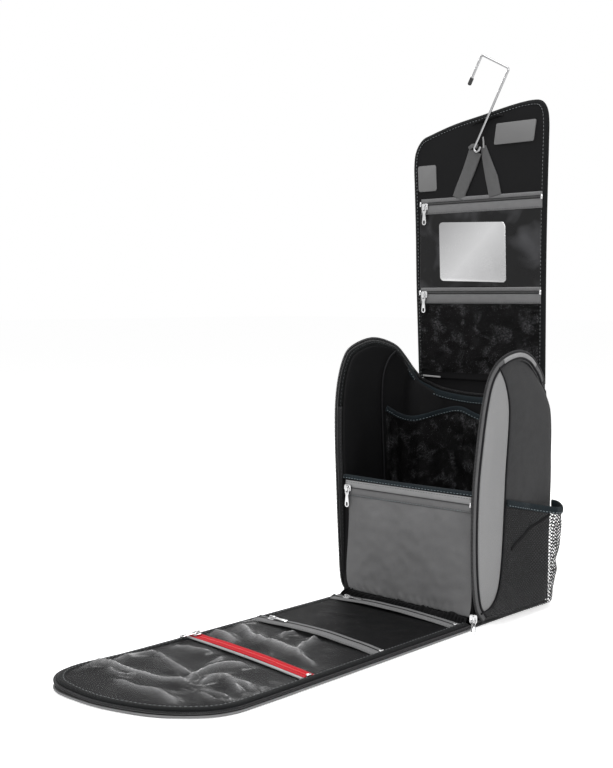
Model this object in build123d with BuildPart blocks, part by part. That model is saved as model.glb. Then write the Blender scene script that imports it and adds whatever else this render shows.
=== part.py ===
from build123d import *
import math
import os

# Hanging toiletry bag, opened out: a standing body, a front flap laid on the floor and a panel that
# stands up behind with a wire hook. X runs across the front, Y to the back and Z up.
# The origin is the middle of the underside.

# Body
body_half_width = 95
body_front = -73
body_back = 75
side_front = -79
arch_top = 297
back_top = 252
skin = 2
lining = 1.5
inner_half = body_half_width - skin - lining
corner_rise = 24
arch_start = 232
arch_points = ((-50, 282), (10, 296), (72, 246))
rear_shoulder = 200
accent_seam = ((-52, -2), (-24, 70), (-14, 180), (-38, 300))
board_thickness = 3
board_y = (-65, 67)
back_lining_y = (70, 71)
back_board_y = (71, 73.5)
front_wall_rear = -67
swoop_end = 250
swoop_middle = 231
swoop_width = 10
edge_tape = 10
edge_tape_start = 10
edge_coil_start = 14
edge_tape_thickness = 1.2
coil_height = 1.6
coil_width = 5
tape_thickness = 1

# Front pocket and inner pocket
front_pocket_top = 140
front_pocket_sheet = 1.5
front_pocket_seam = 121
front_zip_height = 131
inner_pocket_top = 206
inner_pocket_bottom = 55
inner_pocket_depth = 8

# Side pockets of mesh
side_pocket_front = -24
side_pocket_rear = 70
side_pocket_top = 122
side_pocket_bulge = 20
side_pocket_base_bulge = 9
mesh_thickness = 1.2

# Flap on the floor, in three lengths that fold one after the other
flap_half_width = 93
flap_hinge_y = -84
flap_strip_inset = 4
flap_fold_one = -342
flap_fold_two = -422
flap_end = -490
flap_corner = 60
flap_thickness = 6
flap_shell = 1.5
fold_gap = 1.5
pocket_sheet = 1
pocket_margin = 6
net_pocket_y = (-113, -202)
narrow_clear_y = (-235, -290)
clear_pocket_gap = 4

# Panel that stands up, also in three lengths
panel_half_width = 90.5
panel_face = 66
panel_thickness = 5
panel_fold_one = 365
panel_fold_two = 471
panel_top_left = 550
panel_top_right = 570
panel_corner = 16
panel_pocket_inset = 4
panel_net_z = (258, 341)
gloss_pocket_z = (370, 447)
mirror_centre = (-10.5, 402)
mirror_size = (94, 70)
mirror_corner = 5
mirror_thickness = 2
left_pad = (-77, 492)
left_pad_size = (27, 31)
right_pad = (45.5, 536)
right_pad_size = (53, 24)
right_pad_turn = -3
pad_thickness = 2

# Webbing and the hook of round wire hung on it
strap_feet = (-34, 20)
strap_foot_z = 474
strap_half_width = 9
strap_thickness = 1.5
wire = 2.8
hook_x = -3.7
hook_y = 61
hook_z = 521.2
hook_lean = 28.6
hook_shank = 96.2
hook_crossbar = 42.5
hook_leg = 34
hook_eye = 3.6
hook_stub = 4
hook_bend = 3
sleeve_radius = 2.3
sleeve_length = 9
sleeve_overlap = 6

# Zip sliders and pullers
slider_length = 9
slider_width = 8
slider_top = 4.1
bridge_top = 6.5
puller_length = 22
puller_thickness = 1.1
puller_height = 4.85
puller_half_root = 2.8
puller_half_waist = 1.8
puller_waist_at = 8.5
puller_half_end = 3
zip_length = 176
zip_tape = 20
panel_zip_tape = 21
slider_start = -80
upper_zip_height = 458
lower_zip_height = 352
# Flap zips lie a little askew: name, place, slant, slider's place and the way its puller points
flap_zips = (
    ("flap_zip_one", -97, 1.5, -67, 0),
    ("flap_zip_two", -219, 2, -66, 0),
    ("flap_zip_three", -316, 5, -83, -85),
)
flap_zip_x = 2
main_slider_height = 12
main_slider_set_in = 2
main_slider_turn = 54
main_puller_lean = 62

os.makedirs("parts", exist_ok=True)


def save(piece, label):
    piece.part.label = label
    export_step(piece.part, f"parts/{label}.step")


def plate(label, x_range, y_range, z_range):
    """A plain rectangular sheet or board between three pairs of limits."""
    with BuildPart() as piece:
        with BuildSketch(Plane.XY.offset(z_range[0])):
            with Locations(((x_range[0] + x_range[1]) / 2, (y_range[0] + y_range[1]) / 2)):
                Rectangle(x_range[1] - x_range[0], y_range[1] - y_range[0])
        extrude(amount=z_range[1] - z_range[0])
    save(piece, label)


# Base: outer cloth with a strip that reaches forward to the flap, and the board inside it

with BuildPart() as base_panel:
    with BuildSketch(Plane.XY):
        with Locations((0, (body_front + body_back) / 2)):
            Rectangle(2 * inner_half, body_back - body_front)
        with Locations((0, (flap_hinge_y + body_front) / 2 + 1)):
            Rectangle(2 * (inner_half - flap_strip_inset), body_front - flap_hinge_y)
    extrude(amount=skin)
save(base_panel, "base_panel")
board_x = (-inner_half + 2, inner_half - 2)
plate("base_board", board_x, board_y, (skin, skin + board_thickness))


# Side walls: a front accent panel and a rear panel outside, one lining inside


def side_outline(inset=0):
    with BuildSketch() as outline:
        with BuildLine():
            Line((0, 0), (side_front + corner_rise, 0))
            JernArc((side_front + corner_rise, 0), (-1, 0), corner_rise, -90)
            Line((side_front, corner_rise), (side_front, arch_start))
            rise = TangentArc((side_front, arch_start), arch_points[0], tangent=(0, 1))
            crown = TangentArc(rise @ 1, arch_points[1], tangent=rise % 1)
            fall = TangentArc(crown @ 1, arch_points[2], tangent=crown % 1)
            Polyline(fall @ 1, (body_back, rear_shoulder), (body_back, 0), (0, 0))
        make_face()
        if inset:
            offset(amount=-inset)
    return outline.sketch


def accent_region():
    with BuildSketch() as region:
        with BuildLine():
            Spline(*accent_seam)
            Polyline(accent_seam[-1], (-90, accent_seam[-1][1]), (-90, accent_seam[0][1]), accent_seam[0])
        make_face()
    return region.sketch


def side_piece(label, inner_x, thickness, region_mode):
    """One layer of a side wall: all of it, or the part in front of or behind the accent seam."""
    with BuildPart() as layer:
        with BuildSketch(Plane.YZ.offset(inner_x)):
            add(side_outline())
            if region_mode:
                add(accent_region(), mode=region_mode)
        extrude(amount=thickness)
    save(layer, label)


def edge_ring(outer_inset, inner_inset, lowest):
    """The strip between two insets of the side outline, along its open front and top edge."""
    with BuildSketch() as ring:
        add(side_outline(outer_inset))
        add(side_outline(inner_inset), mode=Mode.SUBTRACT)
        with Locations((body_back, 100)):
            Rectangle(2 * (edge_tape + coil_width), 400, mode=Mode.SUBTRACT)
        with Locations((0, 0)):
            Rectangle(200, 2 * lowest, mode=Mode.SUBTRACT)
    return ring.sketch


def edge_band(label, inner_x, thickness):
    """Zip tape and coil along the open front and top edge of a side wall."""
    with BuildPart() as band:
        with BuildSketch(Plane.YZ.offset(inner_x)):
            add(edge_ring(0, edge_tape, edge_tape_start))
        extrude(amount=thickness)
        with BuildSketch(Plane.YZ.offset(inner_x)):
            add(edge_ring((edge_tape - coil_width) / 2, (edge_tape + coil_width) / 2, edge_coil_start))
        extrude(amount=thickness + math.copysign(coil_height, thickness))
    save(band, label)


for side, sign in (("left", -1), ("right", 1)):
    side_piece(f"side_accent_{side}", sign * (body_half_width - skin), sign * skin, Mode.INTERSECT)
    side_piece(f"side_rear_{side}", sign * (body_half_width - skin), sign * skin, Mode.SUBTRACT)
    side_piece(f"side_lining_{side}", sign * inner_half, sign * lining, None)
    edge_band(f"edge_zip_{side}", sign * body_half_width, sign * edge_tape_thickness)


# Back wall: outer cloth, board and lining, with a curved band of tape across its top

inner_x = (-inner_half, inner_half)
board_top = skin + board_thickness
plate("back_shell", inner_x, (back_board_y[1], body_back), (skin, back_top))
plate("back_board", board_x, back_board_y, (board_top, back_top - 4))
plate("back_lining", inner_x, back_lining_y, (board_top, back_top))

with BuildPart() as swoop_band:
    with BuildSketch(Plane.XZ.offset(-back_lining_y[0])):
        swoop_low = swoop_end - swoop_width
        with BuildLine():
            ThreePointArc((-inner_half, swoop_end), (0, swoop_middle), (inner_half, swoop_end))
            Line((inner_half, swoop_end), (inner_half, swoop_low))
            ThreePointArc((inner_half, swoop_low), (0, swoop_middle - swoop_width), (-inner_half, swoop_low))
            Line((-inner_half, swoop_low), (-inner_half, swoop_end))
        make_face()
    extrude(amount=edge_tape_thickness)
save(swoop_band, "swoop_band")

inner_pocket_width = 2 * inner_half - 6
inner_pocket_y = back_lining_y[0] - inner_pocket_depth / 2
with BuildPart() as inner_mesh_pocket:
    with BuildSketch(Plane.XY.offset(inner_pocket_bottom)):
        with Locations((0, inner_pocket_y)):
            Rectangle(inner_pocket_width, inner_pocket_depth)
    extrude(amount=inner_pocket_top - inner_pocket_bottom)
    with BuildSketch(Plane.XY.offset(inner_pocket_bottom + mesh_thickness)):
        with Locations((0, inner_pocket_y + mesh_thickness)):
            Rectangle(inner_pocket_width - 2 * mesh_thickness, inner_pocket_depth)
    extrude(amount=inner_pocket_top, mode=Mode.SUBTRACT)
save(inner_mesh_pocket, "inner_mesh_pocket")


# Front wall and the zipped pocket on it

front_face = body_front - front_pocket_sheet
front_pocket_x = (-inner_half + 1, inner_half - 1)
plate("front_wall", inner_x, (body_front, front_wall_rear), (skin, front_pocket_top))
plate("front_pocket", front_pocket_x, (front_face, body_front), (skin + 1, front_pocket_seam))


# Mesh pockets on the outside of the side walls, open at the top


def bulged_section(base_x, bulge, height, inset):
    """A bow between the pocket's two seams on a side wall, at one height."""
    sign = math.copysign(1, base_x)
    middle = (side_pocket_front + side_pocket_rear) / 2 + 12
    with BuildSketch(Plane.XY.offset(height)) as bow:
        with BuildLine():
            ThreePointArc(
                (base_x, side_pocket_front + inset),
                (base_x + sign * (bulge - inset), middle),
                (base_x, side_pocket_rear - inset),
            )
            Line((base_x, side_pocket_rear - inset), (base_x, side_pocket_front + inset))
        make_face()
    return bow.sketch.faces()[0]


for side, sign in (("left", -1), ("right", 1)):
    wall_x = sign * body_half_width
    floor_z = 6 + mesh_thickness
    foot = bulged_section(wall_x, side_pocket_base_bulge, 6, 0)
    rim = bulged_section(wall_x, side_pocket_bulge, side_pocket_top, 0)
    inner_foot = bulged_section(wall_x, side_pocket_base_bulge, floor_z, mesh_thickness)
    inner_rim = bulged_section(wall_x, side_pocket_bulge, side_pocket_top + 1, mesh_thickness)
    with BuildPart() as mesh_pocket:
        loft([foot, rim])
        loft([inner_foot, inner_rim], mode=Mode.SUBTRACT)
    save(mesh_pocket, f"mesh_pocket_{side}")


# Zips: a chain of tape and coil, a slider and a puller, all placed from one plane each.
# The plane lies on the cloth, with its X along the zip and its Z away from the cloth.


def zip_chain(label, plane, length, tape_width):
    with BuildPart() as chain:
        with BuildSketch(plane):
            Rectangle(length, tape_width)
        extrude(amount=tape_thickness)
        with BuildSketch(plane.offset(tape_thickness)):
            Rectangle(length - 6, coil_width)
        extrude(amount=coil_height)
    save(chain, label)


def zip_slider(label, seat, pull):
    """A channel over the coil with a small bridge on top for the puller."""
    with BuildPart() as slider:
        with BuildSketch(seat.offset(tape_thickness + 0.3)):
            RectangleRounded(slider_length, slider_width, 1.8)
        extrude(amount=slider_top - tape_thickness - 0.3)
        with BuildSketch(seat):
            Rectangle(slider_length + 2, coil_width + 1)
        extrude(amount=tape_thickness + coil_height + 0.35, mode=Mode.SUBTRACT)
        with BuildSketch(Plane(origin=pull.origin, x_dir=pull.x_dir, z_dir=-pull.y_dir)):
            with Locations((0, (slider_top + bridge_top) / 2 - 0.1)):
                Rectangle(7, bridge_top - slider_top + 0.2)
            with Locations((0, slider_top + 0.8)):
                Rectangle(4.6, 1.6, mode=Mode.SUBTRACT)
        extrude(amount=1, both=True)
    save(slider, label)


def zip_puller(label, pull):
    """A waisted tag with a round end that turns on a crossbar held under the slider's bridge."""
    with BuildPart() as puller:
        with BuildSketch(pull.offset(puller_height - puller_thickness / 2)):
            end_centre = puller_length - puller_half_end
            with BuildLine():
                Polyline(
                    (0, puller_half_root), (0, -puller_half_root), (5.8, -puller_half_root),
                    (puller_waist_at, -puller_half_waist), (end_centre, -puller_half_end),
                    (end_centre, puller_half_end), (puller_waist_at, puller_half_waist),
                    (5.8, puller_half_root), close=True,
                )
            make_face()
            with Locations((end_centre, 0)):
                Circle(puller_half_end)
            with Locations((1.9, 0)):
                Rectangle(6, 3.2, mode=Mode.SUBTRACT)
            with Locations((end_centre - 0.5, 0)):
                SlotOverall(4.6, 2.6, mode=Mode.SUBTRACT)
        extrude(amount=puller_thickness)
        with BuildSketch(Plane(origin=pull.origin, x_dir=pull.x_dir, z_dir=-pull.y_dir)):
            with Locations((0, puller_height)):
                Circle(puller_thickness / 2)
        extrude(amount=puller_half_root, both=True)
    save(puller, label)


def turned(plane, degrees):
    """The same plane with its X turned within it."""
    turn = math.radians(degrees)
    x_dir = plane.x_dir * math.cos(turn) + plane.y_dir * math.sin(turn)
    return Plane(origin=plane.origin, x_dir=x_dir, z_dir=plane.z_dir)


def zip_fastener(name, plane, length, tape_width, slider_at, puller_turn):
    """A whole straight zip: its chain, and the slider and puller at one end."""
    place = plane.from_local_coords(Vector(slider_at, 0, 0))
    seat = Plane(origin=place, x_dir=plane.x_dir, z_dir=plane.z_dir)
    pull = turned(seat, puller_turn)
    zip_chain(f"{name}_chain", plane, length, tape_width)
    zip_slider(f"{name}_slider", seat, pull)
    zip_puller(f"{name}_puller", pull)


front_zip = Plane(origin=(0, front_face, front_zip_height), x_dir=(1, 0, 0), z_dir=(0, -1, 0))
zip_fastener("front_zip", front_zip, zip_length, zip_tape, slider_start, -90)
for name, height in (("upper_zip", upper_zip_height), ("lower_zip", lower_zip_height)):
    zip_plane = Plane(origin=(0, panel_face, height), x_dir=(1, 0, 0), z_dir=(0, -1, 0))
    zip_fastener(name, zip_plane, zip_length, panel_zip_tape, slider_start, -90)

for name, zip_y, slant, slider_at, puller_turn in flap_zips:
    turn = math.radians(slant)
    along = (math.cos(turn), -math.sin(turn), 0)
    zip_plane = Plane(origin=(flap_zip_x, zip_y, flap_thickness), x_dir=along, z_dir=(0, 0, 1))
    zip_fastener(name, zip_plane, zip_length, zip_tape, slider_at, puller_turn)

# The main zip's slider waits at the foot of the right edge, turned towards the corner, and runs up it.
# Its puller leans out until its end is just above the floor.
corner_turn = math.radians(main_slider_turn)
outward = Vector(math.cos(corner_turn), -math.sin(corner_turn), 0)
edge_corner = Vector(body_half_width + edge_tape_thickness, side_front, main_slider_height)
main_place = edge_corner - outward * main_slider_set_in
main_seat = Plane(origin=main_place, x_dir=(0, 0, 1), z_dir=outward)
zip_slider("main_zip_slider", main_seat, turned(main_seat, 180))
lean = math.radians(main_puller_lean)
puller_face = outward * math.cos(lean) + Vector(0, 0, math.sin(lean))
puller_place = main_place + outward * puller_height - puller_face * puller_height
puller_along = outward * math.sin(lean) - Vector(0, 0, math.cos(lean))
zip_puller("main_zip_puller", Plane(origin=puller_place, x_dir=puller_along, z_dir=puller_face))


# Flap: outer cloth and a padded lining in each length, with flat pockets on the inside


def flap_sheet(label, near_y, far_y, inset, low, high):
    """One layer of one length of the flap. The last length has the rounded end."""
    half = flap_half_width - inset
    end = max(far_y, flap_end + inset)
    with BuildPart() as sheet:
        with BuildSketch(Plane.XY.offset(low)):
            with Locations((0, (near_y + end) / 2)):
                Rectangle(2 * half, near_y - end)
            if far_y <= flap_end:
                fillet(vertices().group_by(Axis.Y)[0], flap_corner - inset)
        extrude(amount=high - low)
    save(sheet, label)


flap_lengths = (
    ("flap_lower", flap_hinge_y - fold_gap, flap_fold_one + fold_gap),
    ("flap_middle", flap_fold_one - fold_gap, flap_fold_two + fold_gap),
    ("flap_tip", flap_fold_two - fold_gap, flap_end),
)
for name, near_y, far_y in flap_lengths:
    flap_sheet(f"{name}_shell", near_y, far_y, 0, 0, flap_shell)
    flap_sheet(f"{name}_padding", near_y, far_y, 1, flap_shell, flap_thickness)

pocket_low = flap_thickness
pocket_high = flap_thickness + pocket_sheet
middle_pocket_y = (flap_fold_one - clear_pocket_gap, flap_fold_two + clear_pocket_gap)
tip_pocket_y = (flap_fold_two - clear_pocket_gap, flap_end)
flap_sheet("flap_mesh_pocket", *net_pocket_y, pocket_margin, pocket_low, pocket_high)
flap_sheet("clear_pocket_upper", *narrow_clear_y, pocket_margin, pocket_low, pocket_high)
flap_sheet("clear_pocket_middle", *middle_pocket_y, pocket_margin, pocket_low, pocket_high)
flap_sheet("clear_pocket_tip", *tip_pocket_y, pocket_margin, pocket_low, pocket_high)


# Standing panel: three padded boards, the mesh pocket, the gloss pocket and its mirror

panel_back = panel_face + panel_thickness
panel_x = (-panel_half_width, panel_half_width)
plate("panel_lower", panel_x, (panel_face, panel_back), (back_top + 3, panel_fold_one - 2))
plate("panel_middle", panel_x, (panel_face, panel_back), (panel_fold_one + 2, panel_fold_two - 2))

with BuildPart() as panel_top:
    with BuildSketch(Plane.XZ.offset(-panel_back)):
        with BuildLine():
            Polyline(
                (-panel_half_width, panel_fold_two + 2), (panel_half_width, panel_fold_two + 2),
                (panel_half_width, panel_top_right), (-panel_half_width, panel_top_left), close=True,
            )
        make_face()
        fillet(vertices().sort_by(Axis.Z)[2:], panel_corner)
    extrude(amount=panel_thickness)
save(panel_top, "panel_top")

pocket_x = (-panel_half_width + panel_pocket_inset, panel_half_width - panel_pocket_inset)
pocket_y = (panel_face - pocket_sheet, panel_face)
plate("panel_mesh_pocket", pocket_x, pocket_y, panel_net_z)
plate("gloss_pocket", pocket_x, pocket_y, gloss_pocket_z)

with BuildPart() as mirror_glass:
    with BuildSketch(Plane.XZ.offset(-pocket_y[0])):
        with Locations(mirror_centre):
            RectangleRounded(*mirror_size, mirror_corner)
    extrude(amount=mirror_thickness)
save(mirror_glass, "mirror_glass")

with BuildPart() as grip_pad_left:
    with BuildSketch(Plane.XZ.offset(-panel_face)):
        with Locations(left_pad):
            RectangleRounded(*left_pad_size, 3)
    extrude(amount=pad_thickness)
save(grip_pad_left, "grip_pad_left")

with BuildPart() as grip_pad_right:
    with BuildSketch(Plane.XZ.offset(-panel_face)):
        with Locations(Location(right_pad, right_pad_turn)):
            RectangleRounded(*right_pad_size, 2)
    extrude(amount=pad_thickness)
save(grip_pad_right, "grip_pad_right")


# Webbing: two legs that meet under the hook, with the pinched fold that the wire goes round

with BuildPart() as hanging_strap:
    with BuildSketch(Plane.XZ.offset(-panel_face)):
        for foot_x in strap_feet:
            with BuildLine():
                Polyline(
                    (foot_x - strap_half_width, strap_foot_z), (foot_x + strap_half_width, strap_foot_z),
                    (hook_x + 8, hook_z - 4), (hook_x, hook_z + 3), (hook_x - 8, hook_z - 4), close=True,
                )
            make_face()
    extrude(amount=strap_thickness)
    with BuildSketch(Plane.XZ.offset(-panel_face + strap_thickness)):
        with Locations((hook_x, hook_z)):
            Circle(hook_eye - wire / 2 - 0.3)
    extrude(amount=panel_face - strap_thickness - hook_y + 3)
save(hanging_strap, "hanging_strap")


# Hook: eye round the webbing, long shank, crossbar and leg with a sleeve on its end


def hook_point(along, across):
    """A place in the hook's plane, from its eye: along the shank, and across it to the right."""
    lean = math.radians(hook_lean)
    x = hook_x + along * math.sin(lean) + across * math.cos(lean)
    z = hook_z + along * math.cos(lean) - across * math.sin(lean)
    return (x, hook_y, z)


wire_route = [
    hook_point(hook_stub, hook_eye),
    hook_point(-hook_eye, hook_eye),
    hook_point(-hook_eye, -hook_eye),
    hook_point(hook_shank, -hook_eye),
    hook_point(hook_shank, -hook_eye - hook_crossbar),
    hook_point(hook_shank - hook_leg, -hook_eye - hook_crossbar),
]
with BuildPart() as hook_wire:
    with BuildLine() as wire_line:
        eye_bend = hook_eye - 0.02
        FilletPolyline(*wire_route, radius=[eye_bend, eye_bend, hook_bend, hook_bend])
    with BuildSketch(Plane(origin=wire_line.line @ 0, z_dir=wire_line.line % 0)):
        Circle(wire / 2)
    sweep()
save(hook_wire, "hook_wire")

leg_end = Vector(*wire_route[-1])
leg_down = (leg_end - Vector(*wire_route[-2])).normalized()
sleeve_plane = Plane(origin=leg_end - leg_down * sleeve_overlap, z_dir=leg_down)
with BuildPart() as hook_tip:
    with BuildSketch(sleeve_plane):
        Circle(sleeve_radius)
    extrude(amount=sleeve_length)
    fillet(edges().filter_by(GeomType.CIRCLE).sort_by(Axis.Z)[0], sleeve_radius - 0.5)
    with BuildSketch(sleeve_plane):
        Circle(wire / 2 + 0.05)
    extrude(amount=sleeve_overlap + 0.05, mode=Mode.SUBTRACT)
save(hook_tip, "hook_tip")
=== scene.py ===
import math
import bpy
import bmesh
from mathutils import Matrix, Vector, noise
from mathutils.bvhtree import BVHTree


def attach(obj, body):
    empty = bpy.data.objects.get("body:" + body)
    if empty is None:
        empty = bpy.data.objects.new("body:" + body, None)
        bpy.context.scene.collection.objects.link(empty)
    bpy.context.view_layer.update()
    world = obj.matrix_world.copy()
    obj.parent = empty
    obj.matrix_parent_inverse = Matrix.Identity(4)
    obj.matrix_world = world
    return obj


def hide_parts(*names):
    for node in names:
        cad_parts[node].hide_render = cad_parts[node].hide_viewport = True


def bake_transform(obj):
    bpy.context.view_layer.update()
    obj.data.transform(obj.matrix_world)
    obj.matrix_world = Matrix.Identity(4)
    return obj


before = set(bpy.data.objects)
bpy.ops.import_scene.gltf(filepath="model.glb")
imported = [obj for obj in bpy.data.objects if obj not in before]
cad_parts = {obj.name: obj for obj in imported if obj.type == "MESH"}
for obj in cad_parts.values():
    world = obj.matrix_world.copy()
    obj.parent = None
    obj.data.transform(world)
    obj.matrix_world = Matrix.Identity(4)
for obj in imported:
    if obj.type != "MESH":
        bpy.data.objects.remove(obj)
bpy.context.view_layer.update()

# A hanging toiletry bag, opened out. Metres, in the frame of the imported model: X across the front,
# Y to the back, Z up, and the origin under the middle of the body.
scene = bpy.context.scene
upward = Vector((0, 0, 1))
rightward = Vector((1, 0, 0))
backward = Vector((0, 1, 0))
towardFront = -backward
mergeDistance = 0.000001
print("stage: frame loaded")


# Selecting, shaping and finishing

def pickOnly(piece):
    bpy.ops.object.select_all(action="DESELECT")
    piece.select_set(True)
    bpy.context.view_layer.objects.active = piece


def applyModifier(piece, kind, **values):
    pickOnly(piece)
    modifier = piece.modifiers.new(kind.lower(), kind)
    for key, value in values.items():
        setattr(modifier, key, value)
    bpy.ops.object.modifier_apply(modifier=modifier.name)


def editMesh(piece, shape):
    work = bmesh.new()
    work.from_mesh(piece.data)
    shape(work)
    work.to_mesh(piece.data)
    work.free()


def turnOutward(piece):
    editMesh(piece, lambda work: bmesh.ops.recalc_face_normals(work, faces=work.faces))


def giveThickness(piece, thickness, facing):
    # the sheet is the side that faces this way, and the thickness lies behind it
    faced = sum(face.area * face.normal.dot(facing(face.center) if callable(facing) else facing)
                for face in piece.data.polygons)
    if faced < 0:
        piece.data.flip_normals()
    applyModifier(piece, "SOLIDIFY", thickness=thickness, offset=-1)
    turnOutward(piece)


def newObject(name, mesh):
    piece = bpy.data.objects.new(name, mesh)
    scene.collection.objects.link(piece)
    return piece


def startFrom(primitive, **values):
    # a new primitive, alone in the selection
    bpy.ops.object.select_all(action="DESELECT")
    primitive(**values)
    return bpy.context.object


# Lines: a smooth line through a few named points, and the directions beside it

def evenLine(points, count):
    lengths = [0]
    for a, b in zip(points, points[1:]):
        lengths.append(lengths[-1] + (b - a).length)
    places = []
    index = 0
    for step in range(count + 1):
        target = lengths[-1] * step / count
        while index < len(points) - 2 and lengths[index + 1] < target:
            index += 1
        span = lengths[index + 1] - lengths[index] or 1
        places.append(points[index].lerp(points[index + 1], (target - lengths[index]) / span))
    return places


def smoothLine(points, count):
    knots = [Vector(p) for p in points]
    knots = [2 * knots[0] - knots[1], *knots, 2 * knots[-1] - knots[-2]]
    fine = []
    for a, b, c, d in zip(knots, knots[1:], knots[2:], knots[3:]):
        for step in range(10):
            t = step / 10
            bend = (2 * a - 5 * b + 4 * c - d) * t * t + (3 * b - a - 3 * c + d) * t ** 3
            fine.append(0.5 * (2 * b + (c - a) * t + bend))
    fine.append(knots[-2])
    return evenLine(fine, count)


def lengthOf(line):
    return sum((b - a).length for a, b in zip(line, line[1:]))


def along(line):
    last = len(line) - 1
    return [(line[min(i + 1, last)] - line[max(i - 1, 0)]).normalized() for i in range(last + 1)]


def beside(line, normals):
    return [way.cross(normal).normalized() for way, normal in zip(along(line), normals)]


def shifted(line, ways, distance):
    return [place + way * distance for place, way in zip(line, ways)]


def nearestIndex(line, place):
    return min(range(len(line)), key=lambda index: (line[index] - place).length)


def placeOn(line, share):
    position = min(max(share, 0), 1) * (len(line) - 1)
    index = min(int(position), len(line) - 2)
    return line[index].lerp(line[index + 1], position - index)


def straightLine(a, b, count=30):
    return evenLine([Vector(a), Vector(b)], count)


def mixed(pair, share):
    return pair[0] + (pair[1] - pair[0]) * share


def ripple(place, size, height, seed=0):
    return noise.noise(Vector((place.x, place.y, place.z)) / size + Vector((seed, seed, seed))) * height


# Sheets, strips and tubes

def middleOf(share):
    # a fraction that is 0 at both ends and 1 over most of the way between them
    return min(1, 5.2 * share * (1 - share)) ** 0.7


def rimCap(u, v):
    # 0 at a sheet's borders and 1 over most of its middle
    return middleOf(u) * middleOf(v)


def makeSheet(name, across, lengthwise, place, size):
    # a grid shaped by place(u, v); its UV map is in metres on the flat cloth
    piece = startFrom(bpy.ops.mesh.primitive_grid_add, x_subdivisions=across, y_subdivisions=lengthwise,
                      size=2)
    piece.name = name
    for vertex in piece.data.vertices:
        vertex.co = place((vertex.co.x + 1) / 2, (vertex.co.y + 1) / 2)
    for corner in piece.data.uv_layers[0].data:
        corner.uv = (corner.uv[0] * size[0], corner.uv[1] * size[1])
    bpy.ops.object.shade_smooth()
    piece["cut"] = size
    piece["cloth"] = sum(face.area for face in piece.data.polygons)
    return piece


def makePatch(name, lineA, lineB, across, lift, size):
    # cloth between two lines with the same number of places
    rows = len(lineA) - 1

    def place(u, v):
        index = round(v * rows)
        spot = lineA[index].lerp(lineB[index], u)
        return spot + lift(u, v, spot)
    return makeSheet(name, across, rows, place, size)


def makeFourSided(name, bottom, top, near, far, across, rows, lift, reach=1.0):
    # cloth stretched between four lines that meet at its corners; the bends of the near and far lines
    # fade out over reach, a fraction of the width
    def place(u, v):
        spot = placeOn(bottom, u) * (1 - v) + placeOn(top, u) * v
        spot += (placeOn(near, v) - near[0].lerp(near[-1], v)) * max(0, 1 - u / reach)
        spot += (placeOn(far, v) - far[0].lerp(far[-1], v)) * max(0, 1 - (1 - u) / reach)
        return spot + lift(u, v, spot)
    width = max((lengthOf(bottom) + lengthOf(top)) / 2, (placeOn(far, 0.5) - placeOn(near, 0.5)).length)
    return makeSheet(name, across, rows, place, (width, (lengthOf(near) + lengthOf(far)) / 2))


def makeRoll(name, line, normals, width, thickness):
    # a rounded band with closed ends: width beside the line, thickness along the normals
    sides = beside(line, normals)
    rows = len(line) - 1

    def place(u, v):
        index = round(v * rows)
        turn = 2 * math.pi * u
        reach = sides[index] * math.cos(turn) * width / 2
        return line[index] + reach + normals[index] * math.sin(turn) * thickness / 2
    aroundIt = (width + thickness) * 1.57
    piece = makeSheet(name, 12, rows, place, (aroundIt, lengthOf(line)))

    def closeUp(work):
        bmesh.ops.remove_doubles(work, verts=work.verts, dist=mergeDistance)
        bmesh.ops.holes_fill(work, edges=[edge for edge in work.edges if edge.is_boundary])
        bmesh.ops.recalc_face_normals(work, faces=work.faces)
    editMesh(piece, closeUp)
    return piece


def makeStrip(name, line, normals, inner, outer, thickness, crown=0, across=4):
    # a band beside a line, from inner to outer metres towards its side, raised by crown in the middle
    sides = beside(line, normals)
    rows = len(line) - 1

    def place(u, v):
        index = round(v * rows)
        rise = crown * 4 * u * (1 - u)
        return line[index] + sides[index] * mixed((inner, outer), u) + normals[index] * rise
    piece = makeSheet(name, across, rows, place, (abs(outer - inner), lengthOf(line)))
    giveThickness(piece, thickness, lambda spot: normals[nearestIndex(line, spot)])
    return piece


def makeTube(name, line, radius):
    curve = bpy.data.curves.new(name, "CURVE")
    curve.dimensions = "3D"
    curve.bevel_depth = radius
    curve.bevel_resolution = 2
    curve.use_fill_caps = True
    spline = curve.splines.new("POLY")
    spline.points.add(len(line) - 1)
    for point, place in zip(spline.points, line):
        point.co = (*place, 1)
    piece = newObject(name, curve)
    pickOnly(piece)
    bpy.ops.object.convert(target="MESH")
    piece = bpy.context.object
    bpy.ops.object.shade_smooth()
    turnOutward(piece)
    return piece


# Small things modelled once and repeated: stitches, coil teeth

stitch = {"half": (0.0013, 0.00032, 0.000256)}
coilPitch = 0.00145


def repeatPiece(name, seed, places):
    corners = [vertex.co.copy() for vertex in seed.data.vertices]
    faces = [tuple(face.vertices) for face in seed.data.polygons]
    allCorners = []
    allFaces = []
    for place in places:
        start = len(allCorners)
        allCorners.extend(place @ corner for corner in corners)
        allFaces.extend(tuple(index + start for index in face) for face in faces)
    mesh = bpy.data.meshes.new(name)
    mesh.from_pydata(allCorners, [], allFaces)
    mesh.polygons.foreach_set("use_smooth", [True] * len(allFaces))
    piece = newObject(name, mesh)
    bpy.data.objects.remove(seed)
    return piece


def standing(place, way, normal):
    side = normal.cross(way).normalized()
    up = way.cross(side).normalized()
    return Matrix.Translation(place) @ Matrix((way, side, up)).transposed().to_4x4()


def spacedPlaces(line, normals, pitch):
    count = max(2, round(lengthOf(line) / pitch))
    ways = along(line)
    places = []
    for step in range(count):
        share = (step + 0.5) / count
        places.append(standing(placeOn(line, share), placeOn(ways, share).normalized(),
                               placeOn(normals, share).normalized()))
    return places


def makeStitches(name, line, normals, pitch=0.0042):
    seed = startFrom(bpy.ops.mesh.primitive_uv_sphere_add, segments=6, ring_count=4, radius=1)
    seed.data.transform(Matrix.Diagonal((*stitch["half"], 1)))
    return repeatPiece(name, seed, spacedPlaces(line, normals, pitch))


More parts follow.
